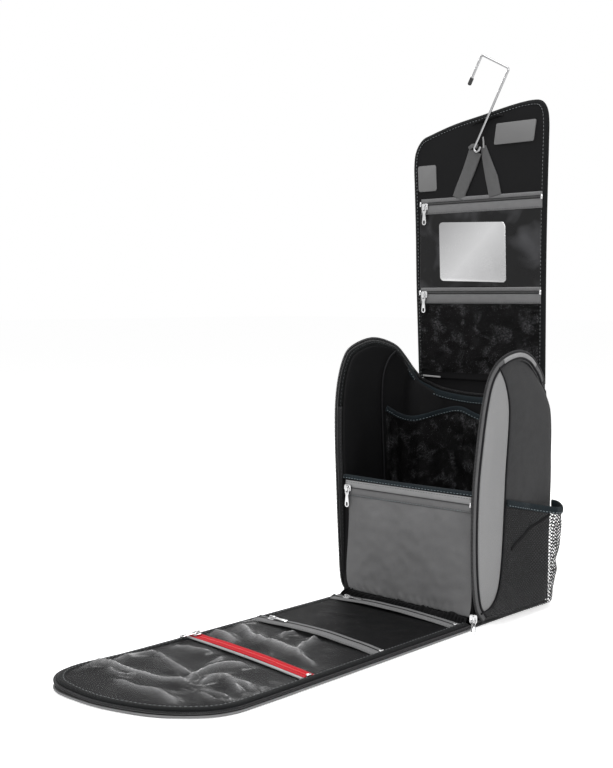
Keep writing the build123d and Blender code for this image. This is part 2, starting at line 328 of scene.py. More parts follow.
def makeCoil(name, line, normals, width, height):
    pitch = coilPitch
    seed = startFrom(bpy.ops.mesh.primitive_cube_add, size=1)
    seed.data.transform(Matrix.Diagonal((pitch * 0.72, width, height, 1)))
    applyModifier(seed, "BEVEL", width=height * 0.22, segments=1)
    return repeatPiece(name, seed, spacedPlaces(line, normals, pitch))


# Loose cloth: the sewn border stays in place, and the rest buckles and fills out; the simulated moves are
# then averaged over their neighbours

clothSettings = {
    "quality": 7, "mass": 0.25, "tension_stiffness": 20, "compression_stiffness": 20, "shear_stiffness": 8,
    "vertex_group_mass": "sewn", "use_pressure": True,
}
clothFrames = 20


def simulateCloth(piece, pressure, slack, cap, bending=0.5, low=None, smooth=2):
    uses = {}
    for face in piece.data.polygons:
        for key in face.edge_keys:
            uses[key] = uses.get(key, 0) + 1
    border = {corner for key, count in uses.items() if count == 1 for corner in key}
    start = [vertex.co.copy() for vertex in piece.data.vertices]
    pickOnly(piece)
    piece.vertex_groups.new(name="sewn").add(list(border), 1.0, "REPLACE")
    modifier = piece.modifiers.new("cloth", "CLOTH")
    for key, value in clothSettings.items():
        setattr(modifier.settings, key, value)
    modifier.settings.bending_stiffness = bending
    modifier.settings.shrink_min = -slack
    modifier.settings.uniform_pressure_force = pressure
    modifier.settings.effector_weights.gravity = 0
    modifier.collision_settings.use_collision = False
    modifier.point_cache.frame_start = 1
    modifier.point_cache.frame_end = clothFrames
    for frameNumber in range(1, clothFrames + 1):
        scene.frame_set(frameNumber)
    bpy.ops.object.modifier_apply(modifier=modifier.name)
    scene.frame_set(1)
    piece.vertex_groups.clear()
    moves = [vertex.co - spot for vertex, spot in zip(piece.data.vertices, start)]
    moves = [move * min(1, cap / max(move.length, mergeDistance)) for move in moves]
    neighbours = [[] for spot in start]
    for edge in piece.data.edges:
        first, second = edge.vertices
        neighbours[first].append(second)
        neighbours[second].append(first)
    for repeat in range(smooth):
        moves = [moves[i] if i in border else sum((moves[j] for j in near), moves[i]) / (len(near) + 1)
                 for i, near in enumerate(neighbours)]
    for vertex, spot, move in zip(piece.data.vertices, start, moves):
        vertex.co = spot + move
        if low is not None and vertex.co.z < low:
            vertex.co.z = low + (low - vertex.co.z) * 0.12
    applyModifier(piece, "SUBSURF", levels=1)
    bpy.ops.object.shade_smooth()


# Finishing: material and the body that carries the piece

def dress(piece, material, slot):
    piece.data.materials.clear()
    piece.data.materials.append(material)


def carry(piece, material, slot, body="bag_body"):
    dress(piece, material, slot)
    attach(piece, body)


def finishSheet(piece, thickness, facing, material, slot, replaced=None, body="bag_body"):
    giveThickness(piece, thickness, facing)
    carry(piece, material, slot, body)
    if replaced:
        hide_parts(replaced)
    # the size that the sheet was cut to, and its flat area where the cut isn't a rectangle
    width, length = piece["cut"]
    length = max(length, piece["cloth"] / width)


def spreadOverFolds(piece, folds, axis, material, slot, thickness=0, facing=None, replaced=None):
    # one layer that crosses several folds becomes one piece for each fold, cut where nothing bends
    for number, fold in enumerate(folds):
        part = newObject(f"{piece.name}{fold['part']}", piece.data.copy())
        low, high = fold["reach"]

        def cutOff(work):
            outside = [face for face in work.faces if not low <= face.calc_center_median()[axis] < high]
            bmesh.ops.delete(work, geom=outside, context="FACES")
        editMesh(part, cutOff)
        if not part.data.polygons:
            bpy.data.objects.remove(part)
            continue
        if thickness:
            giveThickness(part, thickness, facing)
        dress(part, material, slot)
        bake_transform(part)
        if replaced:
            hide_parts(replaced[number])
    bpy.data.objects.remove(piece)


# Shared shader effects, each built once as a node group

def addNode(tree, kind, inputs=None, **settings):
    node = tree.nodes.new("ShaderNode" + kind)
    for key, value in settings.items():
        setattr(node, key, value)
    for key, value in (inputs or {}).items():
        if isinstance(value, bpy.types.NodeSocket):
            tree.links.new(value, node.inputs[key])
        else:
            node.inputs[key].default_value = value
    return node


def maths(tree, operation, first, second=None, kind="Math", output=0):
    inputs = {0: first} if second is None else {0: first, 1: second}
    return addNode(tree, kind, inputs, operation=operation).outputs[output]


def scaled(tree, vector, factor):
    return addNode(tree, "VectorMath", {0: vector, "Scale": factor}, operation="SCALE").outputs[0]


def remap(tree, value, toMin, toMax, fromMin=0.0, fromMax=1.0):
    return addNode(tree, "MapRange", {"Value": value, "From Min": fromMin, "From Max": fromMax,
                                      "To Min": toMin, "To Max": toMax}).outputs[0]


def cloudy(tree, place, scale, detail, distortion=0.0):
    return addNode(tree, "TexNoise", {"Vector": place, "Scale": scale, "Detail": detail,
                                      "Distortion": distortion}).outputs["Fac"]


def newGroup(name, outputs, **values):
    # each effect takes a place and its own named values
    group = bpy.data.node_groups.new(name, "ShaderNodeTree")
    group.interface.new_socket("Place", in_out="INPUT", socket_type="NodeSocketVector")
    for label, value in values.items():
        socket = group.interface.new_socket(label, in_out="INPUT", socket_type="NodeSocketFloat")
        socket.default_value = value
    for label in outputs:
        group.interface.new_socket(label, in_out="OUTPUT", socket_type="NodeSocketFloat")
    return group, group.nodes.new("NodeGroupInput").outputs, group.nodes.new("NodeGroupOutput").inputs


def weaveGroup():
    # crossing threads: which is on top changes like a chess board
    group, entry, result = newGroup("wovenThreads", ["Shade", "Height"], Thread=0.0006)
    perMetre = maths(group, "DIVIDE", 1.0, entry["Thread"])
    parts = addNode(group, "SeparateXYZ", {0: scaled(group, entry["Place"], perMetre)}).outputs
    waves = []
    steps = []
    for label in ("X", "Y"):
        turned = maths(group, "MULTIPLY", parts[label], math.pi)
        waves.append(maths(group, "ABSOLUTE", maths(group, "SINE", turned)))
        steps.append(maths(group, "FLOOR", parts[label]))
    odd = maths(group, "PINGPONG", maths(group, "ADD", *steps), 1.0)
    height = addNode(group, "Mix", {"Factor": odd, "A": waves[0], "B": waves[1]}).outputs[0]
    group.links.new(height, result["Height"])
    group.links.new(remap(group, height, 0.8, 1.08), result["Shade"])
    return group


def blotchGroup():
    # uneven dye and dust at two sizes
    group, entry, result = newGroup("unevenDye", ["Shade", "Rough"], Size=0.02, Amount=0.2)
    scale = maths(group, "DIVIDE", 1.0, entry["Size"])
    broad = cloudy(group, entry["Place"], scale, 3.0)
    fine = cloudy(group, entry["Place"], maths(group, "MULTIPLY", scale, 22.0), 2.0)
    both = maths(group, "ADD", broad, maths(group, "MULTIPLY", fine, 0.6))
    centred = maths(group, "SUBTRACT", both, 0.8)
    shade = maths(group, "ADD", maths(group, "MULTIPLY", centred, entry["Amount"]), 1.0)
    group.links.new(shade, result["Shade"])
    group.links.new(maths(group, "MULTIPLY", centred, 0.3), result["Rough"])
    return group


def netGroup():
    # two offset rows of round holes; Thread is 1 on the net and 0 in a hole
    group, entry, result = newGroup("netHoles", ["Thread", "Height"], Pitch=0.0024, Hole=0.32)
    cells = scaled(group, entry["Place"], maths(group, "DIVIDE", 1.0, entry["Pitch"]))
    distances = []
    for offset in (0.0, 0.5):
        moved = maths(group, "ADD", cells, (offset, offset, 0), "VectorMath")
        cell = maths(group, "FRACTION", moved, None, "VectorMath")
        centred = maths(group, "SUBTRACT", cell, (0.5, 0.5, 0), "VectorMath")
        flat = maths(group, "MULTIPLY", centred, (1, 1, 0), "VectorMath")
        distances.append(maths(group, "LENGTH", flat, None, "VectorMath", "Value"))
    nearest = maths(group, "MINIMUM", *distances)
    edge = maths(group, "SUBTRACT", nearest, entry["Hole"])
    group.links.new(remap(group, edge, 0.0, 1.0, -0.03, 0.03), result["Thread"])
    group.links.new(nearest, result["Height"])
    return group


def netSheenGroup():
    # painted sheen: the knitted net is lighter in soft patches where it catches the light, over a fine grain
    # of its threads
    group, entry, result = newGroup("netPaintedSheen", ["Shade"], Size=0.018)
    broad = cloudy(group, entry["Place"], maths(group, "DIVIDE", 1.0, entry["Size"]), 3.0, 0.4)
    patch = remap(group, broad, 0.35, 6.0, 0.5, 0.7)
    grain = remap(group, cloudy(group, entry["Place"], 420.0, 3.0, 0.6), 0.25, 2.0, 0.42, 0.62)
    group.links.new(maths(group, "MULTIPLY", patch, grain), result["Shade"])
    return group


weave = weaveGroup()
blotches = blotchGroup()
netting = netGroup()
netSheen = netSheenGroup()


# Materials

def grey(value, bluer=0.0):
    return (value, value, value + bluer)


def useGroup(tree, group, **inputs):
    return addNode(tree, "Group", inputs, node_tree=group).outputs


def newMaterial(name, colour, **sockets):
    material = bpy.data.materials.new(name)
    material.use_nodes = True
    tree = material.node_tree
    shader = tree.nodes["Principled BSDF"].inputs
    shader["Base Color"].default_value = (*colour, 1)
    for key, value in sockets.items():
        shader[key.replace("_", " ")].default_value = value
    return material, tree, shader


def shadeColour(tree, shader, colour, shade, *others):
    for other in others:
        shade = maths(tree, "MULTIPLY", shade, other)
    tree.links.new(scaled(tree, colour, shade), shader["Base Color"])


def roughen(tree, shader, patches, rough):
    tree.links.new(maths(tree, "ADD", patches["Rough"], rough), shader["Roughness"])


def raiseThreads(tree, shader, height, strength, distance):
    relief = addNode(tree, "Bump", {"Height": height, "Strength": strength, "Distance": distance})
    tree.links.new(relief.outputs[0], shader["Normal"])


def clothMaterial(name, colour, thread=0.0005, dye=0.02, uneven=0.25, rough=0.85, sheen=0.05, bump=0.3,
                  coordinates="UV"):
    material, tree, shader = newMaterial(name, colour, Sheen_Weight=sheen, Sheen_Roughness=0.5,
                                         Specular_IOR_Level=0.06)
    place = addNode(tree, "TexCoord").outputs[coordinates]
    threads = useGroup(tree, weave, Place=place, Thread=thread)
    patches = useGroup(tree, blotches, Place=place, Size=dye, Amount=uneven)
    shadeColour(tree, shader, colour, threads["Shade"], patches["Shade"])
    roughen(tree, shader, patches, rough)
    raiseThreads(tree, shader, threads["Height"], bump, thread * 0.4)
    return material


def netMaterial(name, colour, pitch, hole, withSheen=True):
    material, tree, shader = newMaterial(name, colour, Specular_IOR_Level=0.15)
    place = addNode(tree, "TexCoord").outputs["UV"]
    net = useGroup(tree, netting, Place=place, Pitch=pitch, Hole=hole)
    patches = useGroup(tree, blotches, Place=place, Size=0.015, Amount=0.5)
    # painted sheen in soft patches, on the nets that have it
    soft = [useGroup(tree, netSheen, Place=place)["Shade"]] if withSheen else []
    shadeColour(tree, shader, colour, patches["Shade"], *soft)
    roughen(tree, shader, patches, 0.7)
    tree.links.new(net["Thread"], shader["Alpha"])
    raiseThreads(tree, shader, net["Height"], 0.5, pitch * 0.2)
    return material


def hardMaterial(name, colour, rough, wear=0.1, scale=90.0, sheenCloudSize=0, **sockets):
    # metal, glass-like and plastic surfaces with fine uneven polish, and optional broad clouds of painted
    # sheen
    material, tree, shader = newMaterial(name, colour, **sockets)
    place = addNode(tree, "TexCoord").outputs["Object"]
    polish = remap(tree, cloudy(tree, place, scale, 4.0), rough * (1 - wear), rough * (1 + wear))
    tree.links.new(polish, shader["Roughness"])
    patches = useGroup(tree, blotches, Place=place, Size=0.012, Amount=wear)
    # painted sheen: broad pale clouds in the colour, when a cloud size is given
    paintedSheenClouds = [remap(tree, cloudy(tree, place, 1 / sheenCloudSize, 2.0, 0.5), 0.7, 6.0, 0.48, 0.74)] if sheenCloudSize else []
    shadeColour(tree, shader, colour, patches["Shade"], *paintedSheenClouds)
    return material


def mirrorMaterial():
    # film mirror with a painted reflection: its colour is brightest along one diagonal and darker away from
    # it
    colour = grey(0.52, 0.005)
    material, tree, shader = newMaterial("mirrorFilm", colour, Metallic=1.0)
    place = addNode(tree, "TexCoord").outputs["Object"]
    across = maths(tree, "DOT_PRODUCT", place, (0.7, 0, -0.7), "VectorMath", "Value")
    away = maths(tree, "ABSOLUTE", maths(tree, "ADD", across, 0.289))
    patches = useGroup(tree, blotches, Place=place, Size=0.02, Amount=0.05)
    # painted reflection: the colour is scaled up along the diagonal and down away from it
    shadeColour(tree, shader, colour, remap(tree, away, 1.22, 0.74, 0.0, 0.055), patches["Shade"])
    roughen(tree, shader, patches, 0.22)
    return material


def filmMaterial():
    # thin clear vinyl with painted highlights: its grey colour and its cover are strongest on the crests of
    # the folds, and it is almost unseen where it lies flat
    colour = grey(0.34, 0.005)
    material, tree, shader = newMaterial("clearFilm", colour, IOR=1.45)
    place = addNode(tree, "TexCoord").outputs["Object"]
    crest = addNode(tree, "Attribute", attribute_name="crest").outputs["Fac"]
    patches = useGroup(tree, blotches, Place=place, Size=0.03, Amount=0.5)
    shadeColour(tree, shader, colour, remap(tree, crest, 0.2, 1.0), patches["Shade"])
    roughen(tree, shader, patches, 0.24)
    crestHighlight = remap(tree, crest, 0.02, 0.50)
    tree.links.new(maths(tree, "MULTIPLY", crestHighlight, patches["Shade"]), shader["Alpha"])
    return material


liningWeave = {"thread": 0.0004, "dye": 0.05, "uneven": 0.3, "sheen": 0.0}
tapeWeave = {"thread": 0.0007, "dye": 0.01, "bump": 0.6}
bindingWeave = {"thread": 0.0009, "dye": 0.02, "uneven": 0.5, "bump": 0.7}
liningBlack = grey(0.0085, 0.0005)
liningCloth = clothMaterial("blackLiningCloth", liningBlack, rough=0.6, **liningWeave)
liningPad = clothMaterial("blackLiningPad", liningBlack, rough=0.6, coordinates="Object", **liningWeave)
panelLining = clothMaterial("panelLining", liningBlack, rough=0.5, **liningWeave)
frontCloth = clothMaterial("greyPocketCloth", grey(0.150, 0.002), dye=0.03, uneven=0.34)
accentCloth = clothMaterial("lightAccentCloth", grey(0.26, 0.002), dye=0.04, uneven=0.1)
rearCloth = clothMaterial("darkSideCloth", grey(0.046, 0.001), dye=0.01, uneven=0.45)
shellCloth = clothMaterial("greyShellCloth", grey(0.11, 0.002), dye=0.03, uneven=0.2)
tapeCloth = clothMaterial("greyZipTape", grey(0.165, 0.002), uneven=0.3, **tapeWeave)
edgeTapeCloth = clothMaterial("darkZipTape", grey(0.125, 0.002), uneven=0.3, **tapeWeave)
redTapeCloth = clothMaterial("redZipTape", (0.50, 0.012, 0.02), **tapeWeave)
frontTapeCloth = clothMaterial("paleZipTape", grey(0.30, 0.003), **tapeWeave)
capCloth = clothMaterial("archTape", grey(0.32, 0.002), thread=0.0007, dye=0.006, uneven=0.45, bump=0.8)
greyBinding = clothMaterial("greyBinding", grey(0.028, 0.001), rough=0.6, **bindingWeave)
blackBinding = clothMaterial("blackBinding", (0.006, 0.0065, 0.007), rough=0.6, **bindingWeave)
bindingCloth = clothMaterial("slateBinding", (0.0105, 0.016, 0.0195), rough=0.55, **bindingWeave)
webbingCloth = clothMaterial("greyWebbing", grey(0.115, 0.001), thread=0.0012, dye=0.006, uneven=0.3,
                             bump=0.9)
gripCloth = clothMaterial("loopPadCloth", grey(0.20, 0.001), thread=0.0008, dye=0.003, uneven=0.7, rough=0.95,
                          bump=1.0)
trimBlack = hardMaterial("blackTrim", grey(0.006, 0.001), 0.6, wear=0.3, Specular_IOR_Level=0.15)
coilBlack = hardMaterial("blackCoil", grey(0.014, 0.001), 0.4, wear=0.3, Specular_IOR_Level=0.3)
coilGrey = hardMaterial("greyCoil", grey(0.055, 0.001), 0.5, wear=0.3, Specular_IOR_Level=0.3)
coilRed = hardMaterial("redCoil", (0.6, 0.02, 0.025), 0.35, wear=0.2)
pipingGrey = hardMaterial("greyPiping", grey(0.16, 0.002), 0.6, wear=0.3)
threadSlate = hardMaterial("slateThread", (0.22, 0.27, 0.29), 0.6)
threadDark = hardMaterial("darkThread", (0.045, 0.05, 0.053), 0.6)
threadSoft = hardMaterial("softThread", (0.17, 0.18, 0.185), 0.6)
chrome = hardMaterial("polishedChrome", grey(0.64, 0.005), 0.18, wear=0.35, Metallic=1.0)
hookChrome = hardMaterial("hookChrome", grey(0.36, 0.005), 0.2, wear=0.5, Metallic=1.0)
mirrorFilm = mirrorMaterial()
clearFilm = filmMaterial()
hemFilm = hardMaterial("filmHem", grey(0.20, 0.005), 0.25, wear=0.4, scale=60.0, Specular_IOR_Level=0.3)
# its colour carries painted sheen in broad pale clouds
glossCloth = hardMaterial("glossBlackCloth", grey(0.0075, 0.0005), 0.3, wear=0.5, scale=30.0, sheenCloudSize=0.04,
                          Specular_IOR_Level=0.2)
sleeveBlack = hardMaterial("blackSleeve", grey(0.012), 0.45, wear=0.3)
boardGrey = hardMaterial("stiffBoard", grey(0.06), 0.7, wear=0.2)
finePocketNet = netMaterial("finePocketNet", grey(0.0085, 0.0005), 0.0019, 0.31)
flapPocketNet = netMaterial("flapPocketNet", grey(0.0055, 0.0005), 0.0019, 0.31, withSheen=False)
sidePocketNet = netMaterial("sidePocketNet", grey(0.030, 0.001), 0.0042, 0.305, withSheen=False)
print("stage: materials")


# Camera, light and floor

view = {"place": (0.79535, -1.07745, 0.34849), "turn": 43.261, "pitch": 4.232, "lens": 54.80}
light = {"world": 0.62, "floorGlow": 0.48, "floor": 0.82}
# name, place, aim, size and power
lamps = (
    ("softTop", (0.1, -0.35, 1.7), (0, -0.1, 0), 0.9, 15),
    ("softFront", (0.5, -1.6, 1.0), (0, -0.1, 0.2), 0.7, 9),
    ("softSide", (1.6, 0.1, 0.9), (0.1, 0, 0.2), 0.7, 7),
    ("softBack", (-1.1, 1.1, 1.25), (0, -0.3, 0), 0.45, 11),
)


def setView():
    bpy.ops.object.camera_add(location=view["place"],
                              rotation=(math.radians(90 - view["pitch"]), 0, math.radians(view["turn"])))
    camera = bpy.context.object
    camera.name = "photoCamera"
    camera.data.lens = view["lens"]
    camera.data.sensor_width = 36
    scene.camera = camera


def seenDirectly(tree):
    # 1 for the camera, and where metal and glass look
    path = addNode(tree, "LightPath").outputs
    seen = maths(tree, "MAXIMUM", path["Is Camera Ray"], path["Is Transmission Ray"])
    return maths(tree, "MAXIMUM", seen, path["Is Glossy Ray"])


def setWorld():
    # white where it is seen directly, and an even light for the rest
    world = bpy.data.worlds.new("studio")
    scene.world = world
    world.use_nodes = True
    tree = world.node_tree
    background = tree.nodes["Background"].inputs
    strength = addNode(tree, "Mix", {"Factor": seenDirectly(tree), "A": light["world"], "B": 1.0})
    tree.links.new(strength.outputs[0], background["Strength"])
    background["Color"].default_value = (1, 1, 1, 1)


def setLamps():
    for name, place, aim, size, power in lamps:
        bpy.ops.object.light_add(type="AREA", location=place)
        lamp = bpy.context.object
        lamp.name = name
        lamp.data.size = size
        lamp.data.energy = power
        lamp.rotation_euler = (Vector(aim) - Vector(place)).to_track_quat("-Z", "Y").to_euler()


def setFloor():
    floor = startFrom(bpy.ops.mesh.primitive_plane_add, size=30, location=(0, 0, -0.0004))
    floor.name = "floor"
    bpy.ops.object.transform_apply(location=True, rotation=True, scale=True)
    material, tree, shader = newMaterial("paleFloor", grey(light["floor"]), Roughness=0.9,
                                         Specular_IOR_Level=0, Emission_Color=(1, 1, 1, 1))
    glow = maths(tree, "MULTIPLY", seenDirectly(tree), light["floorGlow"])
    tree.links.new(glow, shader["Emission Strength"])
    floor.data.materials.append(material)


setView()
setWorld()
setLamps()
setFloor()
scene.view_settings.view_transform = "Standard"
print("stage: camera and light")


# The open edge of the body: one long half of the main zip, from the foot of the left wall over its arch,
# down across the back wall and over the right arch to the foot of the right wall

body = {
    "wallX": 0.0945, "outerX": 0.0948, "liningX": 0.0905, "swoopY": 0.0685, "edgeWidth": 0.0085,
    "leftRim": [(-0.060, 0.003), (-0.073, 0.020), (-0.0775, 0.060), (-0.082, 0.137), (-0.0845, 0.200),
                (-0.0820, 0.243), (-0.072, 0.276), (-0.056, 0.2925), (-0.018, 0.3015), (0.022, 0.293),
                (0.045, 0.277), (0.059, 0.261), (0.067, 0.251)],
    "rightRim": [(-0.060, 0.003), (-0.073, 0.020), (-0.0795, 0.054), (-0.0815, 0.100), (-0.0795, 0.150),
                 (-0.0735, 0.192), (-0.0645, 0.235), (-0.052, 0.266), (-0.030, 0.284), (0.002, 0.2915),
                 (0.027, 0.286), (0.045, 0.272), (0.059, 0.258), (0.067, 0.250)],
    "swoop": [(-0.0875, 0.2505), (-0.077, 0.2465), (-0.056, 0.240), (-0.026, 0.2362), (0.0, 0.2350),
              (0.026, 0.2362), (0.056, 0.240), (0.077, 0.2465), (0.0875, 0.2505)],
    "outerSeam": [(-0.0640, 0.0140), (-0.0480, 0.0170), (-0.0365, 0.0265), (-0.0295, 0.044),
                  (-0.0245, 0.085), (-0.0210, 0.150), (-0.0155, 0.210), (-0.0160, 0.236),
                  (-0.0235, 0.258), (-0.035, 0.274)],
    "innerSeam": [(0.004, 0.006), (0.001, 0.070), (-0.001, 0.138), (-0.0045, 0.195), (-0.006, 0.228),
                  (-0.0045, 0.252), (0.000, 0.266), (0.008, 0.277), (0.020, 0.2845)],
    "backEdge": [(0.0745, 0.004), (0.0752, 0.100), (0.0745, 0.190), (0.0720, 0.225)],
    "bulge": 0.0045, "cornerIn": 0.0045, "cornerTop": 0.008, "cloth": 0.0016, "liningCloth": 0.001,
    "liningInset": 0.0095, "liningBulge": 0.0015, "seamPiping": 0.0011, "backPiping": 0.0016,
    "innerPiping": 0.0012, "pipingOut": 0.0012,
}
# the edge line has 150 places on each rim and 60 on the swoop; these are the first and last of each part
edgeParts = {
    "tapeReach": 0.0102, "tapeThickness": 0.0009, "tapeCrown": 0.0007, "coil": (0.0032, 0.0022),
    "coilAt": (0.0012, -0.0002), "piping": 0.0014, "pipingOut": 0.0008, "bindingAt": (0.0042, -0.0014),
    "bindingThickness": 0.0011, "bindingCrown": 0.0009, "stitchIn": -0.0029,
    "capAt": (0.0026, 0.0010), "capWidth": 0.0064, "capThickness": 0.0006, "capFromZ": 0.26,
    "capY": (-0.030, 0.040),
    "tape": (("Left", 0, 146, edgeTapeCloth, "edge_zip_left"), ("Back", 146, 214, blackBinding, "swoop_band"),
             ("Right", 214, 360, edgeTapeCloth, "edge_zip_right")),
    # black binding on the walls, slate across the back; with the places of its rows of stitches
    "binding": (("LeftFront", 0, 76, greyBinding, threadDark, (0.0060, 0.0115)),
                ("Left", 76, 142, blackBinding, threadDark, (0.0060, 0.0115)),
                ("Back", 142, 218, bindingCloth, threadSlate, (0.0112,)),
                ("Right", 218, 360, blackBinding, threadDark, (0.0060, 0.0115))),
}


def outwardOf(side):
    return rightward * (-1 if side == "left" else 1)


def onWall(side, points, x, count):
    return smoothLine([(outwardOf(side).x * x, y, z) for y, z in points], count)


def roundCorner(line):
    # the walls turn towards the back behind their arches
    for spot in line:
        turn = max(0, (spot.y - 0.045) / 0.0235) ** 2
        spot.x -= math.copysign(body["cornerTop"] * turn, spot.x)
    return line


def rimInset(side, distance, x):
    # the rim moved in over the wall
    rim = onWall(side, body[side + "Rim"], x, 150)
    return roundCorner(shifted(rim, beside(rim, [rightward] * len(rim)), distance))


def edgeOfBody():
    left = roundCorner(onWall("left", body["leftRim"], body["wallX"], 150))
    right = roundCorner(onWall("right", body["rightRim"], body["wallX"], 150))
    back = smoothLine([(x, body["swoopY"], z) for x, z in body["swoop"]], 60)
    line = left + back[1:-1] + right[::-1]
    normals = [-rightward] * len(left) + [backward] * (len(back) - 2) + [rightward] * len(right)
    for repeat in range(6):
        normals = [(normals[max(i - 1, 0)] + n + normals[min(i + 1, len(normals) - 1)]).normalized()
                   for i, n in enumerate(normals)]
    return line, normals


edgeLine, edgeNormals = edgeOfBody()
edgeInward = [-side for side in beside(edgeLine, edgeNormals)]


def makeBodyEdge():
    data = edgeParts
    width = body["edgeWidth"]

    def seam(distance, outwards, part=slice(None)):
        return shifted(shifted(edgeLine, edgeInward, distance), edgeNormals, outwards)[part]
    for label, first, final, cloth, node in data["tape"]:
        part = slice(first, final + 1)
        tape = makeStrip("edgeZipTape" + label, edgeLine[part], edgeNormals[part], 0, -data["tapeReach"],
                         data["tapeThickness"], crown=data["tapeCrown"])
        carry(tape, cloth, "grey_zip")
        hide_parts(node)
    coil = makeCoil("edgeZipCoil", seam(*data["coilAt"]), edgeNormals, *data["coil"])
    carry(coil, coilBlack, "grey_zip")
    carry(makeTube("edgePiping", seam(width, data["pipingOut"]), data["piping"]), trimBlack, "dark_cloth")
    inside = [-normal for normal in edgeNormals]
    for label, first, final, cloth, thread, distances in data["binding"]:
        part = slice(first, final + 1)
        binding = makeStrip("edgeBinding" + label, seam(*data["bindingAt"], part), inside[part], 0, width,
                            data["bindingThickness"], crown=data["bindingCrown"])
        carry(binding, cloth, "black_lining")
        for count, distance in enumerate(distances):
            line = seam(distance, data["stitchIn"], part)
            carry(makeStitches(f"edgeStitches{label}{count}", line, inside[part]), thread, "black_lining")
    # a pale strip over the arches is a painted highlight, where the zip's other tape catches the light
    low, high = data["capY"]
    arches = [i for i, spot in enumerate(edgeLine) if spot.z > data["capFromZ"] and low < spot.y < high]
    middle = len(edgeLine) / 2
    for label in ("Left", "Right"):
        part = [i for i in arches if (i < middle) == (label == "Left")]
        part = slice(part[0], part[-1] + 1)
        cap = makeStrip("archTape" + label, seam(*data["capAt"], part), edgeNormals[part], 0,
                        -data["capWidth"], data["capThickness"], crown=data["capThickness"])
        carry(cap, capCloth, "grey_zip")


def backHalf(z):
    # half the width of the back, which narrows towards its top
    return body["outerX"] - body["cornerIn"] - 0.0006 - 0.0052 * max(0, (z - 0.17) / 0.08) ** 2


sideWalls = {}


def clearOfWall(side, spot, gap):
    # the place, moved outwards where it would lie inside the side wall
    outward = outwardOf(side)
    hit = sideWalls[side].ray_cast(Vector((outward.x * 0.2, spot.y, spot.z)), -outward)[0]
    if hit and (hit - spot).dot(outward) + gap > 0:
        return Vector((hit.x + outward.x * gap, spot.y, spot.z))
    return spot.copy()


def makeSideWall(side):
    outward = outwardOf(side)
    name = side + "Wall"
    outer = rimInset(side, body["edgeWidth"], body["outerX"])
    seam = onWall(side, body["outerSeam"], body["outerX"], 60)
    start = nearestIndex(outer, seam[0])
    split = nearestIndex(outer, seam[-1])

    def swell(seed):
        return lambda u, v, spot: outward * rimCap(u, v) * (body["bulge"] + ripple(spot, 0.035, 0.0011, seed))
    foot = evenLine(outer[start:split + 1], 80)
    accent = makeFourSided(name + "Accent", straightLine(foot[0], seam[0]), straightLine(foot[-1], seam[-1]),
                           foot, seam, 16, 80, swell(3))
    finishSheet(accent, body["cloth"], outward, accentCloth, "light_cloth",
                "side_accent_" + side)
    # the dark cloth goes round the back corner
    corner = body["cornerIn"]
    backEdge = onWall(side, [*body["backEdge"], (outer[-1].y, outer[-1].z)], body["outerX"] - corner, 60)
    for spot in backEdge:
        spot.x = outward.x * min(abs(spot.x), backHalf(spot.z))
    backEdge[-1] = outer[-1]
    front = evenLine(outer[:start] + seam, 110)

    def swellRear(u, v, spot):
        turn = corner * (u - max(0, (u - 0.86) / 0.14) ** 2.2) * min(1, (1 - v) * 8)
        return outward * turn + swell(5)(u, v, spot)
    bottom = straightLine(front[0], backEdge[0])
    top = evenLine(outer[split:], 60)
    rear = makeFourSided(name + "Rear", bottom, top, front, backEdge, 60, 110, swellRear)
    finishSheet(rear, body["cloth"], outward, rearCloth, "dark_cloth", "side_rear_" + side)
    sideWalls[side] = BVHTree.FromPolygons([vertex.co.copy() for vertex in rear.data.vertices],
                                           [tuple(face.vertices) for face in rear.data.polygons])
    piping = shifted(seam, [outward] * len(seam), body["pipingOut"])
    carry(makeTube(name + "SeamPiping", piping, body["seamPiping"]), trimBlack, "dark_cloth")
    carry(makeTube(name + "BackPiping", backEdge, body["backPiping"]), trimBlack, "dark_cloth")
    inner = rimInset(side, body["liningInset"], body["liningX"])
    innerSeam = onWall(side, body["innerSeam"], body["liningX"], 60)
    foot = inner[:nearestIndex(inner, innerSeam[-1]) + 1]

    def settle(u, v, spot):
        return -outward * rimCap(u, v) * (body["liningBulge"] + ripple(spot, 0.05, 0.0012, 8))
    bottom, top = [straightLine(foot[end], innerSeam[end]) for end in (0, -1)]
    lining = makeFourSided(name + "Lining", bottom, top, evenLine(foot, 80), innerSeam, 24, 80, settle)
    finishSheet(lining, body["liningCloth"], -outward, liningCloth, "black_lining",
                "side_lining_" + side)
    piping = shifted(innerSeam, [-outward] * len(innerSeam), body["pipingOut"])
    carry(makeTube(name + "InnerPiping", piping, body["innerPiping"]), trimBlack, "black_lining")


back = {
    "y": 0.075, "thickness": 0.0048, "z": (0.003, 0.2488), "cornerDrop": 0.006,
    "yokeX": (-0.0865, 0.0865), "yokeY": 0.0696, "yokeZ": (0.226, 0.2545), "floorZ": 0.004,
    "baseY": (-0.083, 0.0732), "baseZ": 0.0021, "floorX": (-0.0895, 0.0895), "floorY": (-0.0655, 0.0685),
    "floorTop": 0.0058, "yokeThickness": 0.0008, "liningThickness": 0.0009, "baseThickness": 0.0019,
    "floorThickness": 0.0007,
}


def makeBack():
    low, high = back["z"]

    def place(u, v):
        z = mixed((low, high - back["cornerDrop"] * abs(2 * u - 1) ** 14), v)
        x = backHalf(z) * (2 * u - 1)
        return Vector((x, back["y"] + 0.0008 * rimCap(u, v) + ripple(Vector((x, 0, z)), 0.05, 0.0008, 2), z))
    wall = makeSheet("backWall", 60, 80, place, (2 * backHalf(0), high - low))
    giveThickness(wall, back["thickness"], backward)
    carry(wall, rearCloth, "dark_cloth")
    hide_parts("back_shell")
    makeBackLining()

    def yoke(u, v):
        return Vector((mixed(back["yokeX"], u), back["yokeY"] - 0.0006 * math.sin(math.pi * u),
                       mixed(back["yokeZ"], v)))
    facing = makeSheet("backYoke", 40, 10, yoke, (0.173, 0.0285))
    finishSheet(facing, back["yokeThickness"], towardFront, liningCloth, "black_lining")


def towardMiddle(place):
    return Vector((-place.x, 0.02 - place.y, 0)).normalized()


